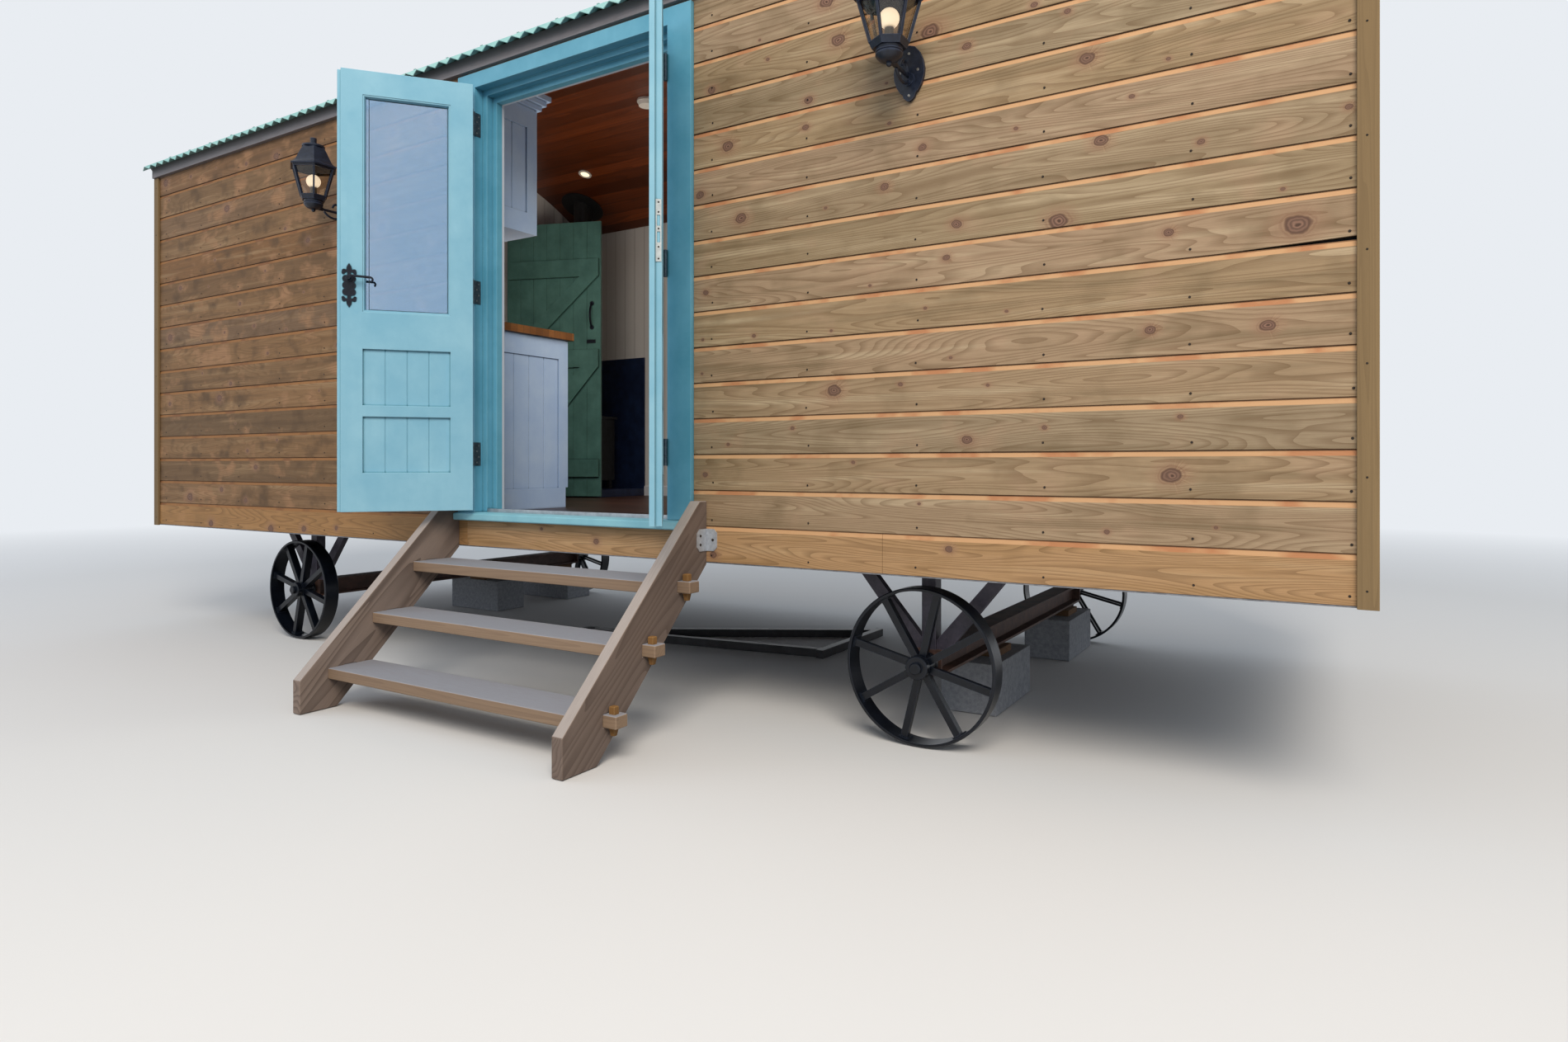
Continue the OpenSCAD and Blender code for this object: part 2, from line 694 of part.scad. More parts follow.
module left_leaf() { color("#86b8b5") hut() at_left_hinge() leaf_form(true); }
module left_leaf_hinges() {
    color("#2c2a28") hut() at_left_hinge() for (z = hinge_z) translate([0, 0, z]) leaf_half();
}
module left_leaf_glass() { color("#b9d2dc", 0.4) hut() at_left_hinge() leaf_glass(); }
module right_leaf() { color("#86b8b5") hut() at_right_hinge() leaf_form(false); }
module right_leaf_hinges() {
    color("#2c2a28") hut() at_right_hinge() for (z = hinge_z) translate([0, 0, z]) leaf_half();
}
module right_leaf_glass() { color("#b9d2dc", 0.4) hut() at_right_hinge() leaf_glass(); }

// Long plate of three pairs of lobes with a lily at each end, middle at the origin
module lily_plate() {
    for (x = [-11, 11], y = [-27, 0, 27]) translate([x, y]) circle(r = 14.5, $fn = small_fn);
    square([14, 104], center = true);
    for (s = [0, 1]) mirror([0, s]) {
        translate([-19, 54]) square([38, 10]);
        for (x = [-19, 19]) translate([x, 58]) circle(r = 8, $fn = small_fn);
        for (x = [-22, 22]) translate([x, 51]) circle(r = 6, $fn = small_fn);
        polygon([[-6, 50], [6, 50], [10, 68], [8, 78], [0, plate_h / 2], [-8, 78], [-10, 68]]);
    }
}

module left_lock_plates() {
    color("#1a1a1c") hut() at_left_hinge() {
        for (y = [leaf_y0 - plate_t, leaf_y0 + leaf_t]) translate([handle_x, y + plate_t, plate_z])
            rotate([90, 0, 0]) linear_extrude(plate_t) difference() {
                lily_plate();
                translate([0, handle_z - plate_z]) circle(r = 10, $fn = small_fn);
            }
    }
}

// A curled lever on each face, with a boss on the plate
module lever_handle() {
    reach = 34;
    curl_r = 9;
    bar_r = 5;
    color("#1a1a1c") hut() at_left_hinge() for (s = [-1, 1])
        translate([handle_x, s < 0 ? leaf_y0 : leaf_y0 + leaf_t, handle_z]) mirror([0, s < 0 ? 0 : 1, 0]) {
            rotate([90, 0, 0]) translate([0, 0, seat_gap]) cylinder(r = 8, h = reach + 5, $fn = small_fn);
            rotate([90, 0, 0]) translate([0, 0, plate_t + seat_gap]) cylinder(r = 13, h = 6, $fn = small_fn);
            translate([-82, -reach, 4]) rotate([0, 87.2, 0]) cylinder(r = bar_r, h = 82, $fn = small_fn);
            translate([-82, -reach, 4 - curl_r]) rotate([90, 0, 0]) rotate([0, 0, 90])
                rotate_extrude(angle = 150, $fn = round_fn) translate([curl_r, 0])
                    circle(r = bar_r - 1, $fn = small_fn);
        }
}

module keep_plate() {
    color("#c9c6bb") hut() at_right_hinge()
        translate([leaf_x0 + leaf_w - meet_lap, leaf_y0 + 2, plate_z - 98]) difference() {
            cube([2, leaf_t / 2 - 2, 196]);
            for (z = [60, 112]) translate([-past, 4, z]) cube([2 + 2 * past, 10, 34]);
        }
}

module stringer() {
    rotate([90, 0, 90]) linear_extrude(stringer_t)
        polygon([[0, string_slope * (step_reach - foot_l)], [0, stringer_top],
                 [-stringer_head, stringer_top], [-step_reach, foot_nose], [-step_reach, 0],
                 [-step_reach + foot_l, 0]]);
}

module step_stringers() {
    color("#a18767") hut() translate([door_x, 0, 0]) difference() {
        for (x = [-step_w / 2 - stringer_t, step_w / 2]) translate([x, 0, 0]) stringer();
        for (i = [0 : tread_count - 1])
            translate([-step_w / 2 - stringer_t - past, tread_y(i) + (tread_d - tenon_w) / 2 - seat_gap,
                       tread_z(i) - tread_t - seat_gap])
                cube([step_w + 2 * stringer_t + 2 * past, tenon_w + 2 * seat_gap, tread_t + 2 * seat_gap]);
    }
}

peg_x = step_w / 2 + stringer_t + peg_w / 2 + 8;
peg_hole = peg_w + 2 * seat_gap;

module step_treads() {
    color("#a8916f") hut() translate([door_x, 0, 0]) for (i = [0 : tread_count - 1])
        translate([0, tread_y(i), tread_z(i) - tread_t]) difference() {
            union() {
                translate([-step_w / 2 + seat_gap, 0, 0]) cube([step_w - 2 * seat_gap, tread_d, tread_t]);
                translate([-step_w / 2 - stringer_t - tenon_out, (tread_d - tenon_w) / 2, 0])
                    cube([step_w + 2 * stringer_t + 2 * tenon_out, tenon_w, tread_t]);
            }
            for (s = [-1, 1]) translate([s * peg_x - peg_hole / 2, (tread_d - peg_hole) / 2, -past])
                cube([peg_hole, peg_hole, tread_t + 2 * past]);
        }
}

// One side of a peg: straight through the tenon, tapered below it
module peg_side() {
    half = peg_w / 2;
    rotate([90, 0, 0]) linear_extrude(peg_w + 2 * past, center = true)
        polygon([[-half + 2, 24], [half - 2, 24], [half, 22], [half, -tread_t - 4],
                 [0.65 * half, -tread_t - 28], [-0.65 * half, -tread_t - 28], [-half, -tread_t - 4],
                 [-half, 22]]);
}

module step_pegs() {
    color("#8d6a3f") hut() translate([door_x, 0, 0]) for (i = [0 : tread_count - 1], s = [-1, 1])
        translate([s * peg_x, tread_y(i) + tread_d / 2, tread_z(i)]) intersection() {
            peg_side();
            rotate([0, 0, 90]) peg_side();
        }
}

// Folded plate from a stringer's outer face to the wall
module step_brackets() {
    plate = 3;
    hole = 5;
    color("#b8bcc0") hut() for (sx = [0, 1]) translate([door_x, 0, floor_z - 95]) mirror([sx, 0, 0])
        translate([step_w / 2 + stringer_t, 0, 0]) {
            rotate([90, 0, 90]) linear_extrude(plate) difference() {
                polygon([[0, 0], [0, 80], [-46, 80], [-62, 64], [-62, 16], [-46, 0]]);
                for (z = [24, 56]) translate([-42, z]) circle(r = hole, $fn = small_fn);
            }
            rotate([90, 0, 0]) linear_extrude(plate) difference() {
                polygon([[0, 0], [32, 0], [46, 14], [46, 66], [32, 80], [0, 80]]);
                translate([28, 40]) circle(r = hole, $fn = small_fn);
            }
        }
}

// Lanterns: each on its own axis, the drop's underside at z = 0
lamp_foot = lamp_z - 36;
glass_foot = 75;
glass_head = 205;
glass_r0 = 0.52 * lamp_r;
glass_r1 = 0.87 * lamp_r;
pane_r0 = glass_r0 - 6;
pane_r1 = glass_r1 - 6;
arm_z = 24;
cup_r = 46;

module each_lamp() {
    for (s = [-1, 1]) translate([door_x + s * lamp_x, 0, 0]) children();
}

module each_lantern() {
    each_lamp() translate([0, -lamp_out, lamp_foot]) rotate([0, 0, 30]) children();
}

module hex_cone(r0, r1, z0, z1) {
    translate([0, 0, z0]) cylinder(r1 = r0, r2 = r1, h = z1 - z0, $fn = 6);
}

// Radius over the corners of the glazed part at a height
function glazed_r(z) = glass_r0 + (glass_r1 - glass_r0) * (z - glass_foot) / (glass_head - glass_foot);

// Leaf-shaped wall plates, each with an arm, a brace swept under it and a scroll above
module lantern_brackets() {
    plate_pts = [[0, 88], [20, 81], [36, 62], [48, 34], [52, 8], [50, -14], [42, -38], [30, -58],
                 [23, -61], [18, -76], [8, -85]];
    brace_w = lamp_out - cup_r - 17;
    brace_r = brace_w / 2 / sin(52.5);
    color("#16181b") hut() each_lamp() {
        translate([0, 0, lamp_z]) rotate([90, 0, 0]) {
            linear_extrude(12) polygon(concat(plate_pts, [[0, -88]],
                [for (i = [len(plate_pts) - 1 : -1 : 1]) [-plate_pts[i][0], plate_pts[i][1]]]));
            translate([0, -20, 0]) cylinder(r = 20, h = 18, $fn = small_fn);
        }
        translate([0, cup_r + seat_gap - lamp_out, lamp_foot + arm_z]) rotate([-90, 0, 0])
            cylinder(r = 6, h = lamp_out - cup_r - 10, $fn = small_fn);
        translate([0, -44, lamp_foot + arm_z + 18]) rotate([90, 0, 90]) rotate([0, 0, -110])
            rotate_extrude(angle = 290, $fn = round_fn) translate([20, 0]) circle(r = 5, $fn = small_fn);
        translate([0, -10 - brace_w / 2, lamp_foot + arm_z - 8 + brace_r * cos(52.5)]) rotate([90, 0, 90])
            rotate([0, 0, 217.5]) rotate_extrude(angle = 105, $fn = round_fn) translate([brace_r, 0])
                circle(r = 5, $fn = small_fn);
    }
}

// Cup, drop, glazing bars and the bell-shaped roof with its cap
module lantern_frames() {
    bar = 8;
    band_z = glass_head - 9;
    cap_z = glass_head + 100;
    // Share of the roof's radius at each height above the glass
    bell = [[1, 0], [1, 7], [0.9, 12], [0.8, 24], [0.71, 44], [0.58, 74], [0.44, 100]];
    color("#16181b") hut() each_lantern() {
        translate([0, 0, 9]) sphere(r = 9, $fn = small_fn);
        rotate_extrude($fn = round_fn) polygon([[0, 12], [18, 14], [30, 20], [39, 29], [42, 34],
            [42, 37], [39, 39], [39, 41], [42, 43], [42, 46], [39, 48], [41, 58], [0, 58]]);
        rotate([0, 0, -30]) translate([0, 0, arm_z]) rotate([-90, 0, 0])
            cylinder(r = 9, h = cup_r, $fn = small_fn);
        hex_cone(glass_r0 - 4, glass_r0 + 5, 54, glass_foot);
        for (i = [0 : 5]) rotate([0, 0, i * 60]) rotate([90, 0, 0]) linear_extrude(bar, center = true)
            polygon([[glass_r0 - 5, glass_foot - 2], [glass_r0 + 5, glass_foot - 2],
                     [glass_r1 + 5, glass_head + 2], [glass_r1 - 5, glass_head + 2]]);
        difference() {
            hex_cone(glazed_r(band_z) + 4, glazed_r(glass_head + past) + 4, band_z, glass_head + past);
            hex_cone(glazed_r(band_z - past) - 5, glazed_r(glass_head + 2 * past) - 5, band_z - past,
                     glass_head + 2 * past);
        }
        difference() {
            for (i = [1 : len(bell) - 1]) let (low = bell[i - 1], high = bell[i])
                hex_cone(low[0] * lamp_r, high[0] * lamp_r, glass_head + low[1], glass_head + high[1]);
            hex_cone(glass_r1 - 6, 0.5 * lamp_r, glass_head - past, glass_head + 60);
        }
        translate([0, 0, cap_z]) cylinder(r = 49, h = 8, $fn = round_fn);
        translate([0, 0, cap_z + 8]) cylinder(r1 = 40, r2 = 16, h = 8, $fn = round_fn);
        translate([0, 0, cap_z + 16]) cylinder(r = 14, h = 28, $fn = small_fn);
    }
}

module lantern_panes() {
    color("#d9c9a8", 0.3) hut() each_lantern() difference() {
        hex_cone(pane_r0, pane_r1, glass_foot + seat_gap, glass_head - seat_gap);
        hex_cone(pane_r0 - pane_t, pane_r1 - pane_t, glass_foot, glass_head);
    }
}

module lantern_bulbs() {
    color("#fff2cf") hut() each_lantern() {
        translate([0, 0, glass_foot + seat_gap]) cylinder(r = 14, h = 42, $fn = small_fn);
        translate([0, 0, glass_foot + 70]) sphere(r = 31, $fn = round_fn);
    }
}

// Crosswise wall under the ceiling, with a trimmed doorway and its halves of two hinges
module partition() {
    door_y0 = inner_hinge_y - inner_door_w - partition_gap - free_gap;
    door_h = inner_door_h + 20;
    trim = 10;
    color("#e6e3dc") hut() for (z = inner_hinge_z)
        translate([-partition_x + hinge_out, inner_hinge_y, floor_z + 10 + z]) inner_hinge_fixed();
    color("#e6e3dc") hut() difference() {
        intersection() {
            union() {
                translate([-partition_x - partition_t, wall_t, floor_z])
                    cube([partition_t, inner_w, crown_z - floor_z]);
                for (x = [-partition_x - partition_t - trim, -partition_x])
                    translate([x, door_y0 - 65, floor_z])
                        cube([trim, inner_hinge_y - door_y0 + 130 + partition_gap, door_h + 60]);
            }
            arc_solid(ceiling_r - seat_gap, -partition_x - partition_t - 2 * trim, -partition_x + 2 * trim);
        }
        translate([-partition_x - partition_t - 2 * trim, door_y0, floor_z - past])
            cube([partition_t + 4 * trim, inner_hinge_y - door_y0, door_h + past]);
        translate([-partition_x - past, door_y0 - partition_gap, floor_z - past])
            cube([2 * trim, inner_hinge_y - door_y0 + 2 * partition_gap + hinge_out, door_h + past]);
    }
}

// The inner door in its own place: hinge at the origin, closed towards -y, ledges on -x
module at_inner_hinge() {
    translate([-partition_x + hinge_out, inner_hinge_y, floor_z + 10]) rotate([0, 0, inner_open]) children();
}

ledge_t = 18;
ledge_h = 115;
ledge_z = inner_door_h * [0.071, 0.47, 0.8];
inner_hinge_z = inner_door_h * [0.105, 0.828];
inner_hinge_h = 90;
inner_knuckle_r = 6;

// Half of a surface hinge about its pin: the partition's outer knuckles with the pin, or
// the door's flap and middle knuckle with its bore
module inner_hinge_fixed() {
    third = inner_hinge_h / 3;
    cylinder(r = pin_r, h = inner_hinge_h, $fn = small_fn);
    for (z = [0, 2 * third]) translate([0, 0, z]) {
        cylinder(r = inner_knuckle_r, h = third - seat_gap, $fn = small_fn);
        translate([-hinge_out, 0, 0]) cube([5, partition_gap + hinge_out + past, third - seat_gap]);
    }
}

module inner_hinge_moving() {
    third = inner_hinge_h / 3;
    difference() {
        union() {
            translate([0, 0, third + seat_gap]) {
                cylinder(r = inner_knuckle_r, h = third - 3 * seat_gap, $fn = small_fn);
                translate([-hinge_out, -8, 0]) cube([4, 8, third - 3 * seat_gap]);
            }
            translate([-hinge_out, -38, 0]) cube([3, 31, inner_hinge_h]);
        }
        translate([0, 0, -past]) cylinder(r = pin_r + run_gap, h = inner_hinge_h + 2 * past, $fn = small_fn);
    }
}

module inner_door() {
    board_t = inner_door_t - ledge_t;
    color("#3c5247") hut() at_inner_hinge()
    translate([-hinge_out - board_t, -inner_door_w - partition_gap, 0]) {
        difference() {
            cube([board_t, inner_door_w, inner_door_h]);
            for (i = [1 : 6], x = [0, board_t]) translate([x, i * inner_door_w / 7, -past])
                rotate([0, 0, 45]) translate([-1.5, -1.5, 0]) cube([3, 3, inner_door_h + 2 * past]);
        }
        for (z = ledge_z) translate([-ledge_t, 10, z]) cube([ledge_t + past, inner_door_w - 20, ledge_h]);
        for (i = [0, 1]) rotate([90, 0, 90]) translate([0, 0, -ledge_t])
            linear_extrude(ledge_t + past) polygon([
                [12, ledge_z[i + 1] + past], [142, ledge_z[i + 1] + past],
                [inner_door_w - 12, ledge_z[i] + ledge_h - past],
                [inner_door_w - 142, ledge_z[i] + ledge_h - past]]);
    }
}

// Bow pull and latch on the ledged face, and the door's halves of its two hinges
module inner_door_fittings() {
    face = -hinge_out - inner_door_t + ledge_t;
    half_bow = 78.5;
    bow_d = 28;
    bow_r = (pow(half_bow, 2) + pow(bow_d, 2)) / (2 * bow_d);
    bow_angle = asin(half_bow / bow_r);
    color("#121212") hut() at_inner_hinge() {
        translate([face, 55 - inner_door_w, 1192]) {
            for (s = [-1, 1]) translate([0, 0, s * half_bow]) rotate([0, -90, 0]) {
                cylinder(r = 14, h = 5, $fn = small_fn);
                cylinder(r = 8, h = 11, $fn = small_fn);
            }
            translate([bow_r - bow_d - 7, 0, 0]) rotate([90, 0, 0]) rotate([0, 0, 180 - bow_angle])
                rotate_extrude(angle = 2 * bow_angle, $fn = round_fn) translate([bow_r, 0])
                    circle(r = 6, $fn = small_fn);
        }
        translate([face - 5, 30 - inner_door_w, 1010]) cube([5, 60, 22]);
        for (z = inner_hinge_z) translate([0, 0, z]) inner_hinge_moving();
    }
}

// Cut for a sunk field of grooved boards in a panel that faces +z
module sunk_boards(w, h) {
    boards = max(2, round(w / 90));
    sunk = 6;
    translate([0, 0, -sunk]) cube([w, h, sunk + past]);
    for (i = [1 : boards - 1]) translate([i * w / boards, 0, -sunk]) rotate([-90, 0, 0]) rotate(45)
        translate([-2, -2, 0]) cube([4, 4, h]);
}

// Carcass of panels with two doors to the room, the doors and the end framed round boards
module cupboard(d, h, plinth) {
    p = 18;
    stile = 65;
    rail = 100;
    inside_z = max(plinth, p);
    door_w = cupboard_l / 2 - 4;
    door_h = h - plinth - 6;
    difference() {
        cube([cupboard_l, d - p, h]);
        translate([p, p, inside_z]) cube([cupboard_l - 2 * p, d, h - inside_z - p]);
        translate([cupboard_l, stile, rail]) rotate([90, 0, 90]) sunk_boards(d - 2 * stile, h - 2 * rail);
    }
    for (i = [0, 1]) translate([i * cupboard_l / 2 + 2, d - p - past, plinth + 2]) difference() {
        cube([door_w, p + past, door_h]);
        translate([door_w - stile, p + past, stile]) rotate([90, 0, 180])
            sunk_boards(door_w - 2 * stile, door_h - 2 * stile);
    }
}

// A base cupboard, and a wall cupboard under a cornice of three steps
module cupboards() {
    x0 = cupboard_r - cupboard_l;
    unit_z = floor_z + 1340;
    unit_top = ceiling_at(wall_t + wall_unit_d) - 150;
    step = 16;
    color("#dfe3ea") hut() {
        translate([x0, wall_t, floor_z]) cupboard(base_d, base_h, 100);
        intersection() {
            union() {
                translate([x0, wall_t, unit_z]) cupboard(wall_unit_d, unit_top - unit_z, 0);
                for (i = [0 : 2]) translate([x0, wall_t, unit_top - past + i * 24])
                    cube([cupboard_l + (i + 1) * step, wall_unit_d + (i + 1) * step, 24 + past]);
            }
            arc_solid(ceiling_r - seat_gap, x0 - past, cupboard_r + 60);
        }
    }
}

module worktop() {
    color("#b06f2c") hut() translate([cupboard_r - cupboard_l, wall_t, floor_z + base_h])
        cube([cupboard_l + 20, base_d + 22, worktop_t]);
}

// Along the back wall from the hearth, the right end wall and the front wall to the doorway
module skirting_boards() {
    module board(l) {
        rotate([90, 0, 90]) linear_extrude(l)
            polygon([[0, 0], [skirt_t, 0], [skirt_t, skirt_h - 6], [skirt_t - 6, skirt_h], [0, skirt_h]]);
    }
    front_x = door_x + rough_w / 2;
    back_x = -partition_x + 12 + hearth_w + seat_gap;
    color("#e6e3dc") hut() translate([0, 0, floor_z]) {
        translate([front_x, wall_t, 0]) board(inner_x - front_x);
        translate([back_x, body_w - wall_t, 0]) mirror([0, 1, 0]) board(inner_x - back_x);
        translate([inner_x, wall_t, 0]) rotate([0, 0, 90]) board(inner_w);
    }
}

module hearth() {
    color("#3a3d42") hut() {
        translate([-partition_x + 12, body_w - wall_t - 12, floor_z + hearth_t])
            cube([hearth_w, 12, 930]);
        translate([-partition_x + 12, body_w - wall_t - hearth_d, floor_z])
            cube([hearth_w, hearth_d, hearth_t]);
    }
}

// Box stove on four legs, with a framed door and its handle towards the room
module stove() {
    d = 280;
    h = 430;
    color("#1c1c1e") hut() translate([-stove_x, stove_y, floor_z + hearth_t]) {
        for (x = [-stove_w / 2 + 12, stove_w / 2 - 40], y = [-d / 2 + 12, d / 2 - 40])
            translate([x, y, 0]) cube([28, 28, 62]);
        translate([-stove_w / 2, -d / 2, 60]) cube([stove_w, d, h]);
        translate([-stove_w / 2 - 14, -d / 2 - 14, 60 + h]) cube([stove_w + 28, d + 28, 16]);
        difference() {
            translate([-stove_w / 2 + 25, -d / 2 - 14, 100]) cube([stove_w - 50, 15, 330]);
            translate([-stove_w / 2 + 60, -d / 2 - 14 - past, 150]) cube([stove_w - 120, 8, 230]);
        }
        translate([stove_w / 2 - 44, -d / 2 - 44, 270]) rotate([0, 90, 0])
            cylinder(r = 7, h = 90, $fn = small_fn);
        translate([stove_w / 2 - 38, -d / 2 - 44, 270]) rotate([-90, 0, 0])
            cylinder(r = 5, h = 32, $fn = small_fn);
    }
}

// Pipe from the stove to a cowl over the roof, with a plate under the ceiling
module flue_pipe() {
    tilt = asin((stove_y - body_w / 2) / ceiling_r);
    plate_r = 2.4 * flue_r;
    drop = pow(plate_r, 2) / (2 * ceiling_r) + 1;
    color("#161618") hut() {
        translate([-stove_x, stove_y, flue_foot]) {
            cylinder(r = flue_r, h = flue_top - flue_foot - 70, $fn = round_fn);
            cylinder(r = flue_r + 9, h = 40, $fn = round_fn);
        }
        translate([-stove_x, stove_y, flue_top]) {
            for (i = [0 : 2]) rotate([0, 0, i * 120]) translate([flue_r - 8, -7, -110]) cube([6, 14, 92]);
            translate([0, 0, -25]) cylinder(r1 = flue_r + 36, r2 = 20, h = 25, $fn = round_fn);
        }
        translate([-stove_x, body_w / 2, arc_z]) rotate([-tilt, 0, 0])
            translate([0, 0, ceiling_r - drop - 5]) cylinder(r = plate_r, h = 5, $fn = round_fn);
    }
}

// Downlights square to the arc, and a smoke alarm on the crown
module ceiling_fittings() {
    light_r = 43;
    off = 565;
    tilt = asin(off / ceiling_r);
    color("#f2efe8") hut() {
        for (x = [-1272, 1272], s = [-1, 1]) translate([x, body_w / 2, arc_z]) rotate([-s * tilt, 0, 0])
            translate([0, 0, ceiling_r - 7]) difference() {
                cylinder(r = light_r, h = 6, $fn = round_fn);
                translate([0, 0, -past]) cylinder(r = light_r - 14, h = 3 + past, $fn = round_fn);
            }
        translate([-270, body_w / 2, arc_z + ceiling_r - 34]) {
            cylinder(r1 = 44, r2 = 52, h = 20, $fn = round_fn);
            translate([0, 0, 20]) cylinder(r = 54, h = 13, $fn = round_fn);
        }
    }
}

chassis();
axle_beams();
axle_stands();
wheel_front_left();
wheel_front_right();
wheel_back_left();
wheel_back_right();
drawbar();
block_piers();
timber_packers();
floor_deck();
front_wall_left();
front_wall_right();
front_wall_over_door();
front_wall_under_door();
back_wall();
left_end_wall();
right_end_wall();
corner_boards();
drip_strips();
fascias();
roof_deck();
roof_sheet();
ceiling();
door_frame();
door_sill();
threshold();
door_hinges();
left_leaf();
left_leaf_hinges();
left_leaf_glass();
left_lock_plates();
lever_handle();
right_leaf();
right_leaf_hinges();
right_leaf_glass();
keep_plate();
step_stringers();
step_treads();
step_pegs();
step_brackets();
lantern_brackets();
lantern_frames();
lantern_panes();
lantern_bulbs();
partition();
inner_door();
inner_door_fittings();
cupboards();
worktop();
skirting_boards();
hearth();
stove();
flue_pipe();
ceiling_fittings();
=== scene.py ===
"""A timber shepherds hut with its doors open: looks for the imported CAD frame."""
import json
import math
import random
from functools import partial

import bmesh
import bpy
from mathutils import Matrix, Vector


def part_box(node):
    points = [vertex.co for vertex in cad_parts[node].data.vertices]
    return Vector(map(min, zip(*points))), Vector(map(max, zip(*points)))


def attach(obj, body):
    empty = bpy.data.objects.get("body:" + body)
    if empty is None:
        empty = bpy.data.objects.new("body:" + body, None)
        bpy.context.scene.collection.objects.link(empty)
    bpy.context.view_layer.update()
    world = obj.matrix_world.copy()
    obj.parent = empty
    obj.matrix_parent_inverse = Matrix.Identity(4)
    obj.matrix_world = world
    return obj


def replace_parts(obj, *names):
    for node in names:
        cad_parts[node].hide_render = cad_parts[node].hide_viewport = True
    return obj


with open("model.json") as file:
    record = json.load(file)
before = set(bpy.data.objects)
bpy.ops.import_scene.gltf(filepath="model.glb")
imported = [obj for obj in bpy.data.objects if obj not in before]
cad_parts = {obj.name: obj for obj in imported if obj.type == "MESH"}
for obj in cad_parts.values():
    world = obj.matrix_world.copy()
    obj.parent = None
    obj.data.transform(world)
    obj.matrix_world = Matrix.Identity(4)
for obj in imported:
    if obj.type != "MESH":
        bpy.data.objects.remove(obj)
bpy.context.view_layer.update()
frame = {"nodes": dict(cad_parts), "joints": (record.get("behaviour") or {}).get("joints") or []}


# The camera stands level in front of the right-hand end, about 0.93 m off the ground and
# 2.6 m out from the long wall, turned 31 degrees to the left.
def new_object(name, data):
    """An object in the scene for a camera, a mesh or a lamp."""
    placed = bpy.data.objects.new(name, data)
    bpy.context.scene.collection.objects.link(placed)
    return placed


wall_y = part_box("front_wall_left")[0].y
camera = new_object("view", bpy.data.cameras.new("view"))
camera.data.sensor_width = 36.0
camera.data.lens = 20.568
camera.data.shift_y = -0.0356
camera.data.clip_end = 200.0
camera.location = (2.9425, wall_y - 2.6307, 0.930)
camera.rotation_euler = (math.radians(90), 0, math.radians(31.28))
bpy.context.scene.camera = camera
bpy.context.scene.view_settings.view_transform = "Standard"


# Chassis of box-section steel beams under the floor, welded and brush-painted brown-black.
# The paint lies thick, dulled by road dirt, with a little rust through it.
def srgb(code):
    """An sRGB hex value as the linear colour that a shader takes."""
    parts = [int(code[i:i + 2], 16) / 255 for i in (1, 3, 5)]
    return [c / 12.92 if c <= 0.04045 else ((c + 0.055) / 1.055) ** 2.4 for c in parts] + [1.0]


def feed(node, *values, **named):
    """Gives a node its inputs, in order or by name, with _ for a space.

    Each is a plain value, a hex colour, a socket, or a node for its first output.
    """
    for key, value in [*enumerate(values), *named.items()]:
        slot = node.inputs[key.replace("_", " ") if key in named else key]
        if isinstance(value, bpy.types.Node):
            value = next(out for out in value.outputs if out.enabled)
        if isinstance(value, bpy.types.NodeSocket):
            node.id_data.links.new(value, slot)
        else:
            slot.default_value = srgb(value) if str(value).startswith("#") else value


def add_node(tree, kind, *values, **named):
    """Adds a node, as its kind with any operation after a dot, and gives it its inputs.

    A name that starts with a capital is an input's, and any other is a setting's.
    """
    kind, _, operation = kind.partition(".")
    new = tree.nodes.new(kind if "Node" in kind else "ShaderNode" + kind)
    if operation:
        new.operation = operation
    for key in [key for key in named if key[0].islower()]:
        setattr(new, key, named.pop(key))
    feed(new, *values, **named)
    return new


def new_finish(name, roughness, metallic=0.0, **shader_inputs):
    """A material with its shader and the piece's own coordinates, in metres."""
    finish = bpy.data.materials.new(name)
    finish.use_nodes = True
    tree = finish.node_tree
    shader = tree.nodes["Principled BSDF"]
    feed(shader, Roughness=roughness, Metallic=metallic, **shader_inputs)
    return finish, tree, shader, add_node(tree, "TexCoord").outputs["Object"]


def layered(tree, colour, *coats):
    """A colour under coats of others, each a colour and the value that lays it on.

    A coat's further numbers are where that value starts to lay it and where it lies full, and
    how strong it then is.
    """
    for over, value, *span in coats:
        if span:
            value = add_node(tree, "MapRange", value, *span[:2], 0.0, *span[2:])
        colour = add_node(tree, "Mix", Factor=value, A=colour, B=over, data_type="RGBA")
    return colour


def arrises(tree, reach):
    """One on a flat face, and less within reach metres of a sharp edge."""
    rounded = add_node(tree, "Bevel", Radius=reach, samples=4)
    outward = add_node(tree, "NewGeometry").outputs["Normal"]
    return add_node(tree, "VectorMath.DOT_PRODUCT", rounded, outward)


